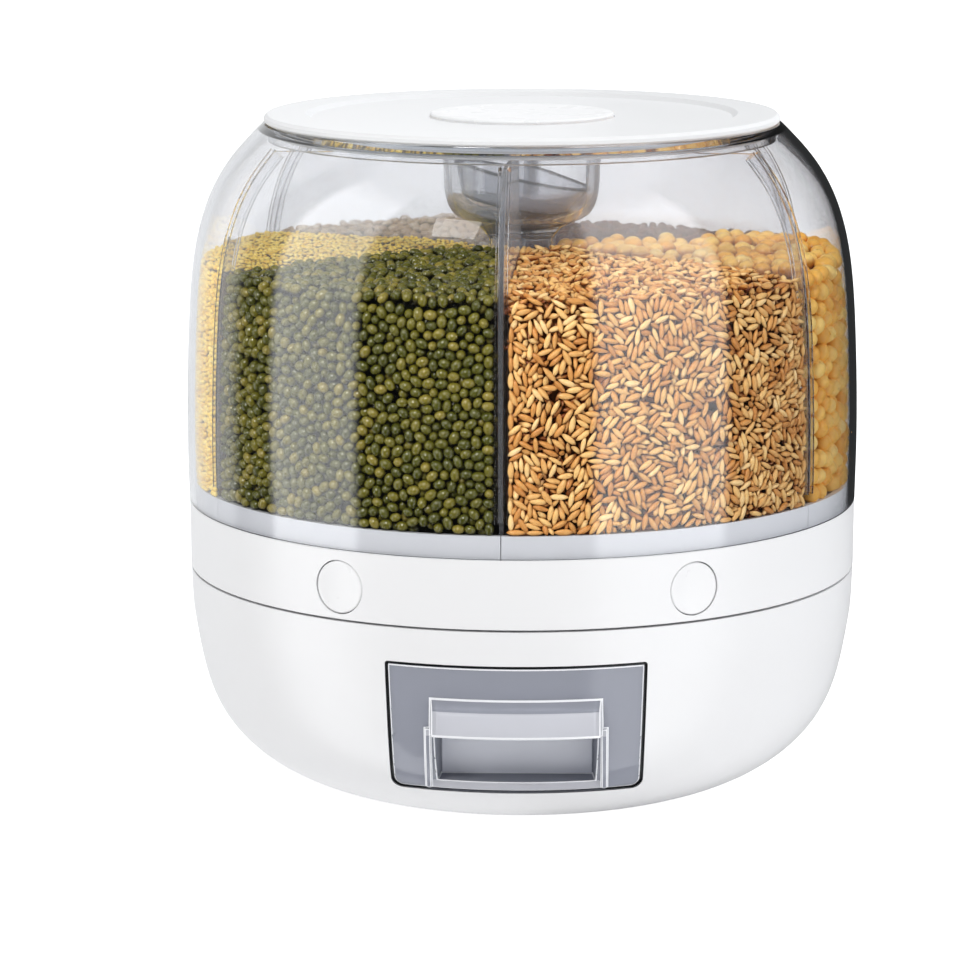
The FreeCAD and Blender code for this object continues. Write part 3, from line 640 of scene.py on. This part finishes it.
for k in range(6):
    out_pts = np.array(wall_o)
    zs = np.linspace(118.0, DIV_TOP, len(out_pts))
    in_pts = np.stack([np.interp(zs, col_z, col_r) - 0.05, zs], 1)
    # the foot follows the funnel floor
    rf = np.linspace(118.6, 13.0, 26)
    foot_top = np.stack([rf, np.interp(rf, [13.0, 118.6], [118.0, float(out_pts[0, 1])])], 1)
    foot_bot = np.stack([rf, np.minimum(floor_z(rf) + 0.4, foot_top[:, 1] - 0.1)], 1)
    n0 = len(out_pts)
    out_pts[0] = (118.6, out_pts[0, 1])
    outline = [tuple(p) for p in out_pts] + [tuple(p) for p in in_pts[::-1]] + [tuple(p) for p in foot_bot[::-1]]
    v, f, n = slab(outline, -0.8, 0.8, DIVIDER_THETA0 + 60.0 * k, 0.2)
    nf = len(foot_bot)
    top_edge_inner = 2 * n0 - 1
    for base_i, flip in ((0, False), (3 * n, True)):
        for i in range(n0 - 1):
            q = (base_i + i, base_i + i + 1, base_i + 2 * n0 - 2 - i, base_i + 2 * n0 - 1 - i)
            f.append(q if flip else q[::-1])
        loop = [base_i + 0, base_i + 2 * n0 - 1] + [base_i + 2 * n0 + i for i in range(nf)]
        f.append(tuple(loop) if flip else tuple(loop[::-1]))
    insert_parts.append((v, f))
insert = join_meshes("divider_insert_shell", insert_parts, INSERT, 35.0)
place(insert, "carousel", ["divider_insert"])

# ------------------------------------------------------------------ lid, disc, cup
lid_prof = rounded([(34.25, 248.4), (77.6, 248.4), (79.6, 250.0), (94.0, 250.0), (95.2, 248.9), (95.2, 247.6), (94.5, 246.9), (89.2, 246.9), (89.2, 246.0),
                    (87.7, 245.2), (87.7, 243.2), (89.2, 242.4), (89.2, 241.2), (86.4, 241.2), (86.4, 246.9), (0.0, 246.9), (0.0, 247.7), (34.25, 247.7)],
                   [0.2, 0.8, 0.8, 0.7, 0.5, 0.3, 0.3, 0.3, 0.2, 0.2, 0.2, 0.2, 0.5, 0.5, 0.6, 0, 0, 0.1], 5)
lid = lathe("lid_plate_shell", lid_prof, LID, 256)
place(lid, "lid", ["lid_plate"])
disc_prof = rounded([(0, 247.72), (34.0, 247.72), (34.0, 249.3), (33.4, 249.85), (30.0, 250.0), (24.0, 249.4), (0, 249.2)], [0, 0.2, 0.4, 0.4, 0.8, 1.5, 0], 5)
disc = lathe("lid_disc_shell", disc_prof, DISC, 128)
place(disc, "lid", ["lid_disc"])

CUP_H, CUP_R = 12.8, 26.0
cup_prof = rounded([(0, 0), (19.6, 0), (20.6, 1.0), (CUP_R - 0.7, CUP_H - 1.0), (CUP_R, CUP_H - 1.0), (CUP_R, CUP_H), (CUP_R - 1.6, CUP_H), (19.7, 1.3), (0, 1.3)],
                   [0, 0.5, 0.5, 0.2, 0.25, 0.35, 0.35, 0.8, 0], 5)
cup = lathe("measuring_cup_shell", cup_prof, CUP, 128)
cup.data.materials.append(CUP_PAINTED_DARK_EDGE)
# painted shade: the rim and the bottom take the near-black material, standing for the dark lines along the clear cup's
# edges
for f in cup.data.polygons:
    if f.center.z > (CUP_H - 1.3) * MM or f.center.z < 1.2 * MM:
        f.material_index = 1
turn = Matrix.Translation((-2.2 * MM, 0, 215.4 * MM)) @ Matrix.Rotation(math.radians(12.0), 4, "Y")
cup.data.transform(turn)
place(cup, "cup", ["measuring_cup"])

# ------------------------------------------------------------------ push buttons: dished caps flush with the ring
for k in range(6):
    th = BUTTON_THETA0 + 60.0 * k
    rings = [0.0, 1.5, 3.0, 4.5, 6.0, 7.2, 8.0, 8.5, 8.8, 9.0, 9.15, 9.27, 9.35, 9.4]
    seg = 64
    verts, faces = [], []

    def face_x(rho, phi):
        y = rho * math.cos(phi)
        shell = math.sqrt(124.3 ** 2 - y * y)
        dish = 175.4 - math.sqrt(52.0 ** 2 - rho * rho)
        kk = 0.12
        x = -kk * math.log(math.exp(-(shell - 120) / kk) + math.exp(-(dish - 120) / kk)) + 120
        e = max(0.0, rho - 8.7) / 0.7
        return x - 0.7 * (1 - math.sqrt(max(0.0, 1 - e * e)))

    rows = []
    for rho in rings:
        row = []
        for j in range(seg if rho > 0 else 1):
            phi = 2 * math.pi * j / seg
            row.append(len(verts))
            verts.append((face_x(rho, phi), rho * math.cos(phi), BUTTON_Z + rho * math.sin(phi)))
        rows.append(row)
    for x in (121.5, 118.0, 115.0):
        row = []
        for j in range(seg):
            phi = 2 * math.pi * j / seg
            row.append(len(verts))
            verts.append((x, 9.4 * math.cos(phi), BUTTON_Z + 9.4 * math.sin(phi)))
        rows.append(row)
    row = []
    for j in range(seg):
        phi = 2 * math.pi * j / seg
        row.append(len(verts))
        verts.append((115.0, 7.9 * math.cos(phi), BUTTON_Z + 7.9 * math.sin(phi)))
    rows.append(row)
    row = []
    for j in range(seg):
        phi = 2 * math.pi * j / seg
        row.append(len(verts))
        verts.append((121.2, 7.9 * math.cos(phi), BUTTON_Z + 7.9 * math.sin(phi)))
    rows.append(row)
    rows.append([len(verts)])
    verts.append((121.2, 0, BUTTON_Z))
    for a, b in zip(rows[:-1], rows[1:]):
        for j in range(seg):
            j2 = (j + 1) % seg
            if len(a) == 1:
                faces.append((a[0], b[j], b[j2]))
            elif len(b) == 1:
                faces.append((a[j], b[0], a[j2]))
            else:
                faces.append((a[j], b[j], b[j2], a[j2]))
    ob = new_object("button_%d_cap" % (k + 1), verts, faces, BUTTON)
    ob.data.transform(Matrix.Rotation(math.radians(th - 90.0), 4, "Z"))
    smooth(ob, 40.0)
    place(ob, "button_%d" % (k + 1), ["button_cap_%d" % (k + 1)])

# ------------------------------------------------------------------ body parts from the CAD
cad_piece("base_shell", WHITE, 28.0)
cad_piece("carousel_base", WHITE, 28.0)
for node in ("hopper_floor",) + tuple("hopper_pan_%d" % (k + 1) for k in range(6)):
    if node in NODES:
        cad_piece(node, TRAY, 28.0)
front_me = NODES["drawer_front"].data.copy()
front_ob = bpy.data.objects.new("drawer_front_shell", front_me)
scene.collection.objects.link(front_ob)
front_me.materials.clear()
for mat in (SMOKE, SMOKE_EDGE_PAINTED_HIGHLIGHT, SMOKE_PAINTED_LIT, SMOKE_GAP_PAINTED_SHADE, SMOKE_PAINTED_LIT_POCKET):
    front_me.materials.append(mat)
BASE_PROFILE = [(60.0, 0.9), (79.5, 3.6), (98.6, 12.4), (111.9, 25.6), (119.4, 43.0), (123.0, 62.0), (124.3, 81.7)]
base_line, base_tan = spline(BASE_PROFILE, (1.0, 0.02), (0.03, 1.0), 160)


def base_r(z, inset):
    q = base_line - np.stack([base_tan[:, 1], -base_tan[:, 0]], 1) * inset
    return float(np.interp(z, q[:, 1], q[:, 0]))


bm = bmesh.new()
bm.from_mesh(front_me)
bmesh.ops.remove_doubles(bm, verts=bm.verts, dist=2e-6)
bmesh.ops.dissolve_limit(bm, angle_limit=math.radians(1.0), use_dissolve_boundaries=False, verts=bm.verts, edges=bm.edges)


def at_step(e):
    """The narrow step inside the hood is too thin to take a bevel."""
    return all(abs(v.co.y / MM + 112.0) < 0.3 and abs(v.co.x / MM) < 31.0 and v.co.z / MM > 32.0 for v in e.verts)


sharp = [e for e in bm.edges if len(e.link_faces) == 2 and e.calc_face_angle(0.0) > math.radians(35.0) and not at_step(e)]
for f in bm.faces:
    f.material_index = 0
bm.normal_update()
# the bevels take material 1, the near-white smoke edge that paints the light caught along the edges
bmesh.ops.bevel(bm, geom=sharp, offset=0.00045, offset_type="OFFSET", segments=2, profile=0.5, affect="EDGES", clamp_overlap=False, material=1, loop_slide=True)
for f in bm.faces:
    c = f.calc_center_median() / MM
    r = math.hypot(c.x, c.y)
    proud = r - base_r(c.z, 0.5)
    if f.material_index == 1:
        # painted highlight: only the edges that face out, and those along the foot of the finger pocket, keep the
        # near-white edge material, which stands for the light they catch
        if proud < -1.4 and not (abs(c.x) < 29.0 and 22.0 < c.z < 25.0):
            f.material_index = 0
        continue
    # painted light: the hood's front and the strip under the finger pocket take a lighter smoke for the light they
    # catch, and the pocket's back wall a lighter one still that lifts it out of the hood's shade
    if proud > 0.35 and c.z > 43.0 and f.normal.z < 0.45:
        f.material_index = 2
    elif abs(c.x) < 33.0 and -101.5 < c.y < -92.0 and 23.0 < c.z < 57.0 and f.normal.y < -0.6:
        f.material_index = 4
    elif abs(c.x) < 30.0 and c.z < 24.3 and proud > -0.6:
        f.material_index = 2
bmesh.ops.triangulate(bm, faces=[f for f in bm.faces if len(f.verts) > 4], quad_method="BEAUTY", ngon_method="EAR_CLIP")
# lip behind the front, in an opaque near-black that paints the shade in the gap round the front; left open under the
# finger pocket
lo_f, hi_f = (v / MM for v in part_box("drawer_front"))


def lip_path(grow):
    z_lo, z_hi = lo_f.z - grow, hi_f.z + min(grow, 0.45)
    w_top, w_bot = hi_f.x + grow, hi_f.x - 1.4 + grow
    pts = [(31.5, z_lo)] + [(w_bot - 3.6 + 3.6 * math.sin(a), z_lo + 3.6 - 3.6 * math.cos(a)) for a in np.linspace(0.0, math.pi / 2, 9)]
    pts += [(w_bot + (w_top - w_bot) * u, z_lo + 3.6 + (z_hi - z_lo - 3.6) * u) for u in np.linspace(0.04, 1.0, 22)]
    pts += [(w_top * (1 - u), z_hi) for u in np.linspace(0.04, 1.0, 22)]
    left = [(-x, z) for x, z in pts[:-1]]
    return pts + left[::-1]


pa, pb = lip_path(0.0), lip_path(1.1)
rows = []
for (x0_, z0_), (x1_, z1_) in zip(pa, pb):
    row = []
    for x, z, d in ((x0_, z0_, 1.2), (x1_, z1_, 1.2), (x1_, z1_, 2.7), (x0_, z0_, 2.7)):
        rr = base_r(z, d)
        row.append(bm.verts.new((x * MM, -math.sqrt(rr * rr - x * x) * MM, z * MM)))
    rows.append(row)
for a, b in zip(rows[:-1], rows[1:]):
    for q in range(4):
        bm.faces.new((a[q], a[(q + 1) % 4], b[(q + 1) % 4], b[q])).material_index = 3
bm.faces.new(rows[0][::-1]).material_index = 3
bm.faces.new(rows[-1]).material_index = 3
bm.to_mesh(front_me)
bm.free()
smooth(front_ob, 50.0)
place(front_ob, "drawer", ["drawer_front"])
cad_piece("drawer_tray", SMOKE, 28.0)
cad_piece("foot_pads", RUBBER, 30.0)
cad_piece("lid_gasket", SEAL, 30.0)
for node, mat in (("base_deck", INNER), ("deck_screws", STEEL), ("spindle_washer", STEEL), ("spindle_screw", STEEL), ("outlet_chute", INNER),
                  ("drawer_rail_left", INNER), ("drawer_rail_right", INNER), ("ball_cage", BEARING), ("bearing_balls", BALLS), ("hopper_screws", STEEL),
                  ("outlet_spouts", TRAY), ("gate_guides", INNER)) + tuple(("gate_%d" % (k + 1), GATE) for k in range(6)):
    if node in NODES:
        for s in NODES[node].material_slots:
            s.material = mat

# ------------------------------------------------------------------ gate springs: copies of the CAD springs, each with its own mesh
for k in range(6):
    spring = cad_piece("gate_spring_%d" % (k + 1), STEEL, 40.0)
    spring.modifiers.clear()
    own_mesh(spring)


# ------------------------------------------------------------------ loose grain
def neighbours(S, h):
    c = np.floor(S / h).astype(np.int64)
    c -= c.min(0) - 1
    dims = c.max(0) + 2
    key = (c[:, 0] * dims[1] + c[:, 1]) * dims[2] + c[:, 2]
    order = np.argsort(key, kind="stable")
    ks = key[order]
    I, J = [], []
    idx = np.arange(len(S))
    for a in (-1, 0, 1):
        for b in (-1, 0, 1):
            for d in (-1, 0, 1):
                if (a, b, d) < (0, 0, 0):
                    continue
                nk = key + (a * dims[1] + b) * dims[2] + d
                lo = np.searchsorted(ks, nk, "left")
                m = np.searchsorted(ks, nk, "right") - lo
                for q in range(int(m.max()) if len(m) else 0):
                    sel = np.nonzero(m > q)[0]
                    j = order[lo[sel] + q]
                    i = idx[sel]
                    if (a, b, d) == (0, 0, 0):
                        ok = j > i
                        i, j = i[ok], j[ok]
                    near = np.sum((S[i] - S[j]) ** 2, 1) < h * h
                    I.append(i[near])
                    J.append(j[near])
    return np.concatenate(I), np.concatenate(J)


def wavy(x, y, seed):
    return 0.5 * np.sin(x / 9.0 + seed) * np.cos(y / 11.0 + seed * 1.7) + 0.5 * np.sin(x / 17.0 - y / 14.0 + seed * 2.3)


class Room:
    """One compartment: its walls, floor and the surface of its grain."""

    def __init__(self, a0, wall_level, centre_level, seed, shell):
        self.a0, self.a1 = a0, a0 + 60.0
        self.n0 = np.array([math.cos(math.radians(a0)), math.sin(math.radians(a0))])
        self.n1 = -np.array([math.cos(math.radians(self.a1)), math.sin(math.radians(self.a1))])
        self.lw, self.lc, self.seed, self.shell = wall_level, centre_level, seed, shell

    def level(self, x, y):
        r = np.hypot(x, y)
        return self.lw + (self.lc - self.lw) * (1 - np.clip(r / 121.0, 0, 1) ** 2) + 0.7 * wavy(x, y, self.seed)

    def depths(self, S):
        r = np.hypot(S[:, 0], S[:, 1])
        return np.interp(S[:, 2], IN_Z, IN_R) - r, self.level(S[:, 0], S[:, 1]) - S[:, 2], r

    def keep(self, S, rad):
        # walls of the wedge
        dw, dt, r = self.depths(S)
        gap = np.where(dw < 4.6, 2.35, 0.9) + rad
        for n in (self.n0, self.n1):
            d = S[:, 0] * n[0] + S[:, 1] * n[1]
            push = np.maximum(0, gap - d)
            S[:, 0] += n[0] * push
            S[:, 1] += n[1] * push
        dw, dt, r = self.depths(S)
        # dome wall
        over = np.maximum(0, rad + 0.05 - dw)
        k = (r - over) / np.maximum(r, 1e-6)
        S[:, :2] *= k[:, None]
        # column
        r = np.hypot(S[:, 0], S[:, 1])
        need = 13.3 + rad
        k = np.where(r < need, need / np.maximum(r, 1e-6), 1.0)
        S[:, :2] *= k[:, None]
        # floor, surface
        r = np.hypot(S[:, 0], S[:, 1])
        S[:, 2] = np.maximum(S[:, 2], floor_z(r) + rad + 0.1)
        dw, dt, r = self.depths(S)
        S[:, 2] -= np.maximum(0, rad * 0.9 - dt)
        # settle against the walls and the surface
        near = (dw < dt)
        k = np.where(near, 1 + self.press / np.maximum(r, 1e-6), 1.0)
        S[:, :2] *= k[:, None]
        S[:, 2] += np.where(~near, self.press, 0.0)
        # stay in the layer that shows
        deep = (dw > self.shell) & (dt > self.shell)
        to_wall = deep & (dw - self.shell < dt - self.shell)
        k = np.where(to_wall, 1 + (dw - self.shell) * 0.5 / np.maximum(r, 1e-6), 1.0)
        S[:, :2] *= k[:, None]
        S[:, 2] += np.where(deep & ~to_wall, (dt - self.shell) * 0.5, 0.0)
        return S


def pack(room, size, offs, fill, seed, iters=70):
    """Lets grains of len(offs) balls each settle in the room's outer layer. Returns centres, axes, size factors."""
    rng = np.random.default_rng(seed)
    offs = np.array(offs, float)
    k = len(offs)
    ball = 4 / 3 * math.pi * size ** 3
    length = offs[-1] - offs[0]
    volume = ball + math.pi * size * size * length * 0.9
    # sample the layer
    pts = []
    count = 0
    tried = 0
    while count < 400000 and tried < 40:
        tried += 1
        r = np.sqrt(rng.uniform(13.0 ** 2, 122.5 ** 2, 60000))
        th = np.radians(rng.uniform(room.a0, room.a1, 60000))
        z = rng.uniform(106.0, 204.0, 60000)
        P = np.stack([r * np.sin(th), -r * np.cos(th), z], 1)
        dw, dt, rr = room.depths(P)
        ok = (dw > size) & (dt > size * 0.6) & (z > floor_z(rr) + size) & ((dw < room.shell) | (dt < room.shell))
        pts.append(P[ok])
        count += int(ok.sum())
    P = np.concatenate(pts)
    whole = (122.5 ** 2 - 13.0 ** 2) * math.pi / 6 * 98.0
    layer = whole * len(P) / (60000.0 * tried)
    n = int(fill * layer / volume)
    P = P[rng.permutation(len(P))[:n]]
    n = len(P)
    A = rng.normal(size=(n, 3))
    dw, dt, rr = room.depths(P)
    rad_dir = np.stack([P[:, 0] / rr, P[:, 1] / rr, np.zeros(n)], 1)
    nrm = np.where((dw < dt)[:, None], rad_dir, np.array([[0, 0, 1.0]]))
    A -= nrm * np.sum(A * nrm, 1)[:, None] * 0.85
    A /= np.linalg.norm(A, axis=1)[:, None]
    f = rng.uniform(0.92, 1.08, n)
    R = np.repeat(f * size, k)
    grain = np.repeat(np.arange(n), k)
    for it in range(iters):
        S = (P[:, None, :] + A[:, None, :] * (offs[None, :, None] * f[:, None, None])).reshape(-1, 3)
        if it % 5 == 0:
            I, J = neighbours(S, 2 * size * 1.3)
            ok = grain[I] != grain[J]
            I, J = I[ok], J[ok]
        D = S[J] - S[I]
        L = np.maximum(np.linalg.norm(D, axis=1), 1e-6)
        ov = R[I] + R[J] - L
        m = ov > 0
        i, j = I[m], J[m]
        F = D[m] / L[m][:, None] * (ov[m] * 0.32)[:, None]
        for c in range(3):
            S[:, c] += np.bincount(j, F[:, c], len(S)) - np.bincount(i, F[:, c], len(S))
        room.press = 0.035 * size if it < iters * 0.8 else 0.0
        S = room.keep(S, R)
        G = S.reshape(n, k, 3)
        P = G.mean(1)
        if k > 1:
            B = G[:, -1] - G[:, 0]
            A = B / np.maximum(np.linalg.norm(B, axis=1), 1e-6)[:, None]
    # the grains that lie on top stand up a little, each in its own way
    dw, dt, rr = room.depths(P)
    loose = np.clip(1.0 - (dt - size) / (0.8 * size), 0.0, 1.0) * (dt < dw + size)
    P[:, 2] += loose * rng.uniform(-0.15, 0.95, n) * size
    if k > 1:
        A[:, 2] += loose * rng.uniform(-0.75, 0.75, n)
        A /= np.linalg.norm(A, axis=1)[:, None]
    over = np.maximum(0.0, np.hypot(P[:, 0], P[:, 1]) + size * 1.1 - np.interp(P[:, 2], IN_Z, IN_R))
    rr = np.hypot(P[:, 0], P[:, 1])
    P[:, :2] *= (1 - over / rr)[:, None]
    dw, dt, rr = room.depths(P)
    show = (dw < room.shell * 0.92) | (dt < room.shell * 0.92)
    print("grain", len(P), "shown", int(show.sum()), "layer volume", int(layer))
    return P[show], A[show], f[show], rng


def grain_template(seg, rows, a, b, c, shape=None):
    """Closed grain: a is half its length along X, b and c its half widths."""
    verts, us, vs = [(-1.0, 0, 0)], [-1.0], [0.0]
    for i in range(1, rows):
        u = -math.cos(math.pi * i / rows)
        rad = math.sqrt(max(0.0, 1 - u * u))
        for j in range(seg):
            ph = 2 * math.pi * j / seg
            k = 1.0
            ux = u
            if shape:
                ux, k = shape(u, ph)
            verts.append((ux, rad * k * math.cos(ph), rad * k * math.sin(ph)))
            us.append(u)
            vs.append(rad * math.sin(ph))
    verts.append((1.0, 0, 0))
    us.append(1.0)
    vs.append(0.0)
    V = np.array(verts) * np.array([a, b, c])
    faces = []
    for j in range(seg):
        faces.append((0, 1 + (j + 1) % seg, 1 + j))
    for i in range(rows - 2):
        for j in range(seg):
            p0, p1 = 1 + i * seg + j, 1 + i * seg + (j + 1) % seg
            faces.append((p0, p1, p1 + seg, p0 + seg))
    last = len(verts) - 1
    for j in range(seg):
        faces.append((last, 1 + (rows - 2) * seg + j, 1 + (rows - 2) * seg + (j + 1) % seg))
    return V, faces, np.array(us), np.array(vs)


def grain_object(name, P, A, f, rng, template, mat, room, size, vary=0.06):
    V, faces, us, vs = template
    n, nv = len(P), len(V)
    ref = rng.normal(size=(n, 3))
    B = ref - A * np.sum(ref * A, 1)[:, None]
    B /= np.linalg.norm(B, axis=1)[:, None]
    C = np.cross(A, B)
    sc = (f[:, None] * rng.uniform(1 - vary, 1 + vary, (n, 3)))
    co = (P[:, None, :] + A[:, None, :] * (V[None, :, 0] * sc[:, :1])[..., None] + B[:, None, :] * (V[None, :, 1] * sc[:, 1:2])[..., None]
          + C[:, None, :] * (V[None, :, 2] * sc[:, 2:3])[..., None]).reshape(-1, 3) * MM
    flat = np.array([v for q in faces for v in q])
    sizes = np.array([len(q) for q in faces])
    loops = (flat[None, :] + (np.arange(n) * nv)[:, None]).reshape(-1)
    totals = np.tile(sizes, n)
    starts = np.concatenate([[0], np.cumsum(totals)[:-1]])
    me = bpy.data.meshes.new(name)
    me.vertices.add(len(co))
    me.vertices.foreach_set("co", co.astype(np.float32).ravel())
    me.loops.add(len(loops))
    me.loops.foreach_set("vertex_index", loops.astype(np.int32))
    me.polygons.add(len(totals))
    me.polygons.foreach_set("loop_start", starts.astype(np.int32))
    me.polygons.foreach_set("use_smooth", np.ones(len(totals), bool))
    me.update(calc_edges=True)
    for key, val in (("g_rand", np.repeat(rng.uniform(0, 1, n), nv)), ("g_u", np.tile(us, n)), ("g_v", np.tile(vs, n))):
        at_ = me.attributes.new(key, "FLOAT", "POINT")
        at_.data.foreach_set("value", val.astype(np.float32))
    # painted shade: how deep each vertex lies below the surface of the grain, and for grains lying on top how low it
    # sits on its own grain, sets how far its colour is darkened for the shade between grains
    dw, dt, rr = room.depths(co / MM)
    deep = np.clip((np.minimum(dw, dt) - 0.35 * size) / (2.0 * size), 0.0, 1.0)
    cw, ct, _r = room.depths(P)
    painted_lower_shade = np.clip((dt - np.repeat(ct, nv) + 0.92 * size) / (1.0 * size), 0.0, 1.0)
    on_top = np.repeat((cw > 2.1 * size) & (ct < 1.7 * size), nv)
    deep = np.where(on_top, np.maximum(deep * 0.6, painted_lower_shade), deep)
    at_ = me.attributes.new("g_painted_shade", "FLOAT", "POINT")
    at_.data.foreach_set("value", deep.astype(np.float32))
    me.materials.append(mat)
    ob = bpy.data.objects.new(name, me)
    scene.collection.objects.link(ob)
    GRAIN_SET.objects.link(ob)
    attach(ob, "carousel")
    return ob


def painted_shade_core(name, room, inset, mat):
    """The closed body of grain behind the layer that shows, in a dark colour that paints the shade in the gaps between
    the grains.
    """
    n_a, n_r = 20, 14
    verts, faces = [], []
    gap = 1.0 + inset * 0.6
    def ray(r, i):
        # angle shrinks towards the axis so that the side faces stay parallel to the dividers
        d = math.degrees(math.asin(min(0.99, gap / r)))
        return room.a0 + d + (60.0 - 2 * d) * i / n_a
    r0 = 16.0
    rs = [r0 + (120.0 - inset - r0) * j / n_r for j in range(n_r + 1)]
    top, bot = [], []
    for r in rs:
        ra, rb = [], []
        for i in range(n_a + 1):
            x, y = at(ray(r, i), r)
            zt = float(room.level(np.array(x), np.array(y))) - inset
            ra.append(len(verts)); verts.append((x, y, zt))
            rb.append(len(verts)); verts.append((x, y, float(floor_z(r)) + 1.0))
        top.append(ra); bot.append(rb)
    for j in range(n_r):
        for i in range(n_a):
            faces.append((top[j][i], top[j + 1][i], top[j + 1][i + 1], top[j][i + 1]))
            faces.append((bot[j][i], bot[j][i + 1], bot[j + 1][i + 1], bot[j + 1][i]))
    for j in range(n_r):
        faces.append((top[j][0], bot[j][0], bot[j + 1][0], top[j + 1][0]))
        faces.append((top[j][n_a], top[j + 1][n_a], bot[j + 1][n_a], bot[j][n_a]))
    for i in range(n_a):
        faces.append((top[0][i], top[0][i + 1], bot[0][i + 1], bot[0][i]))
        faces.append((top[n_r][i], bot[n_r][i], bot[n_r][i + 1], top[n_r][i + 1]))
    ob = smooth(new_object(name, verts, faces, mat), 40.0, False)
    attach(ob, "carousel")
    return ob


def oat_shape(u, ph):
    k = (1 - u * u) ** 0.18 * (1.0 - 0.16 * u)
    groove = 1.0 - 0.22 * math.exp(-((ph - math.pi / 2) / 0.45) ** 2)
    return u, k * groove


MUNG = grain_mat("mung_grain", [(0.0, srgb(54, 55, 10)), (0.35, srgb(76, 76, 17)), (0.7, srgb(106, 99, 28)), (1.0, srgb(146, 128, 54))], rough=0.24, gloss=0.6,
                 hilum=(srgb(205, 205, 170), 0.93, 0.30), fine=420.0, fine_amount=0.3, bump=0.1)
OAT = grain_mat("oat_grain", [(0.0, srgb(172, 100, 38)), (0.35, srgb(212, 150, 78)), (0.7, srgb(240, 196, 124)), (1.0, srgb(252, 226, 176))], rough=0.42, gloss=0.45, painted_shade=(0.34, 0.17, 0.08),
                tips=(srgb(140, 86, 34), 0.55, 0.6), fine=700.0, fine_amount=0.4, bump=0.35)
SOY = grain_mat("soy_grain", [(0.0, srgb(236, 164, 56)), (0.4, srgb(250, 190, 84)), (0.8, srgb(253, 212, 118)), (1.0, srgb(254, 232, 166))], rough=0.30, gloss=0.5, painted_shade=(0.5, 0.32, 0.12),
                hilum=(srgb(150, 96, 50), 0.95, 0.35), fine=260.0, fine_amount=0.3, bump=0.1)
RED = grain_mat("red_bean_grain", [(0.0, srgb(42, 14, 12)), (0.4, srgb(68, 22, 18)), (0.8, srgb(92, 32, 26)), (1.0, srgb(110, 46, 36))], rough=0.26, gloss=0.55,
                hilum=(srgb(220, 214, 200), 0.94, 0.35), fine=300.0, fine_amount=0.3, bump=0.08)
PALE = grain_mat("pale_grain", [(0.0, srgb(150, 116, 84)), (0.4, srgb(184, 156, 124)), (0.8, srgb(208, 190, 164)), (1.0, srgb(224, 212, 192))], rough=0.45, gloss=0.4,
                 tips=(srgb(120, 88, 60), 0.7, 0.5), fine=400.0, fine_amount=0.35, bump=0.2)
MILLET = grain_mat("millet_grain", [(0.0, srgb(214, 158, 22)), (0.4, srgb(240, 198, 56)), (0.8, srgb(249, 218, 98)), (1.0, srgb(253, 232, 150))], rough=0.42, gloss=0.45,
                   fine=900.0, fine_amount=0.3, bump=0.15)
PAINTED_SHADE_CORES = {}
# dark colours of the bodies behind the grain: painted shade seen in the gaps between grains
for key_, col in (("mung", srgb(22, 26, 6)), ("oat", srgb(96, 54, 18)), ("soy", srgb(120, 78, 28)), ("red", srgb(24, 8, 7)), ("pale", srgb(98, 74, 52)), ("millet", srgb(150, 110, 14))):
    PAINTED_SHADE_CORES[key_] = plastic(key_ + "_core", col, 0.9, 0.05, 300.0, 0.6, 0.25, specular=0.05)


def add_grain(key_, a0, lw, lc, seed, size, offs, fill, shell, template, mat, split=1, iters=70, vary=0.06):
    room = Room(a0, lw, lc, seed, shell)
    P, A, f, rng = pack(room, size, offs, fill, seed, iters)
    if split > 1:
        dw, dt, rr = room.depths(P)
        th = np.degrees(np.arctan2(P[:, 0], -P[:, 1]))
        th = (th - a0) % 360.0
        edges = np.quantile(th, np.linspace(0, 1, split + 1))
        for q in range(split):
            m = (th >= edges[q]) & (th < edges[q + 1] if q < split - 1 else th <= edges[q + 1] + 1)
            grain_object("%s_grains_%d" % (key_, q + 1), P[m], A[m], f[m], rng, template, mat, room, size, vary=vary)
    else:
        grain_object("%s_grains" % key_, P, A, f, rng, template, mat, room, size, vary=vary)
    painted_shade_core("%s_core" % key_, room, shell * 0.62, PAINTED_SHADE_CORES[key_])


add_grain("oat", -2.4, 197.0, 201.0, 11, 1.05, [-1.75, 0, 1.75], 0.88, 4.8, grain_template(8, 7, 3.1, 1.12, 0.98, oat_shape), OAT, split=3, iters=70)
add_grain("mung", 297.6, 197.0, 201.0, 12, 1.85, [-0.35, 0.35], 0.84, 6.8, grain_template(10, 7, 2.3, 1.80, 1.76), MUNG, split=2)
add_grain("soy", 57.6, 198.0, 200.5, 13, 3.25, [0.0], 0.68, 10.5, grain_template(14, 10, 3.55, 3.25, 3.15), SOY)
add_grain("red", 117.6, 195.0, 198.0, 14, 1.9, [-0.9, 0.9], 0.70, 6.2, grain_template(8, 6, 2.8, 1.95, 1.85), RED, split=2)
add_grain("pale", 177.6, 198.0, 199.5, 15, 1.75, [-0.8, 0.8], 0.70, 5.8, grain_template(8, 6, 2.6, 1.9, 1.5), PALE, split=2)
add_grain("millet", 237.6, 197.5, 200.0, 16, 1.0, [0.0], 0.66, 3.2, grain_template(6, 4, 1.08, 0.98, 0.95), MILLET, split=2, iters=50)
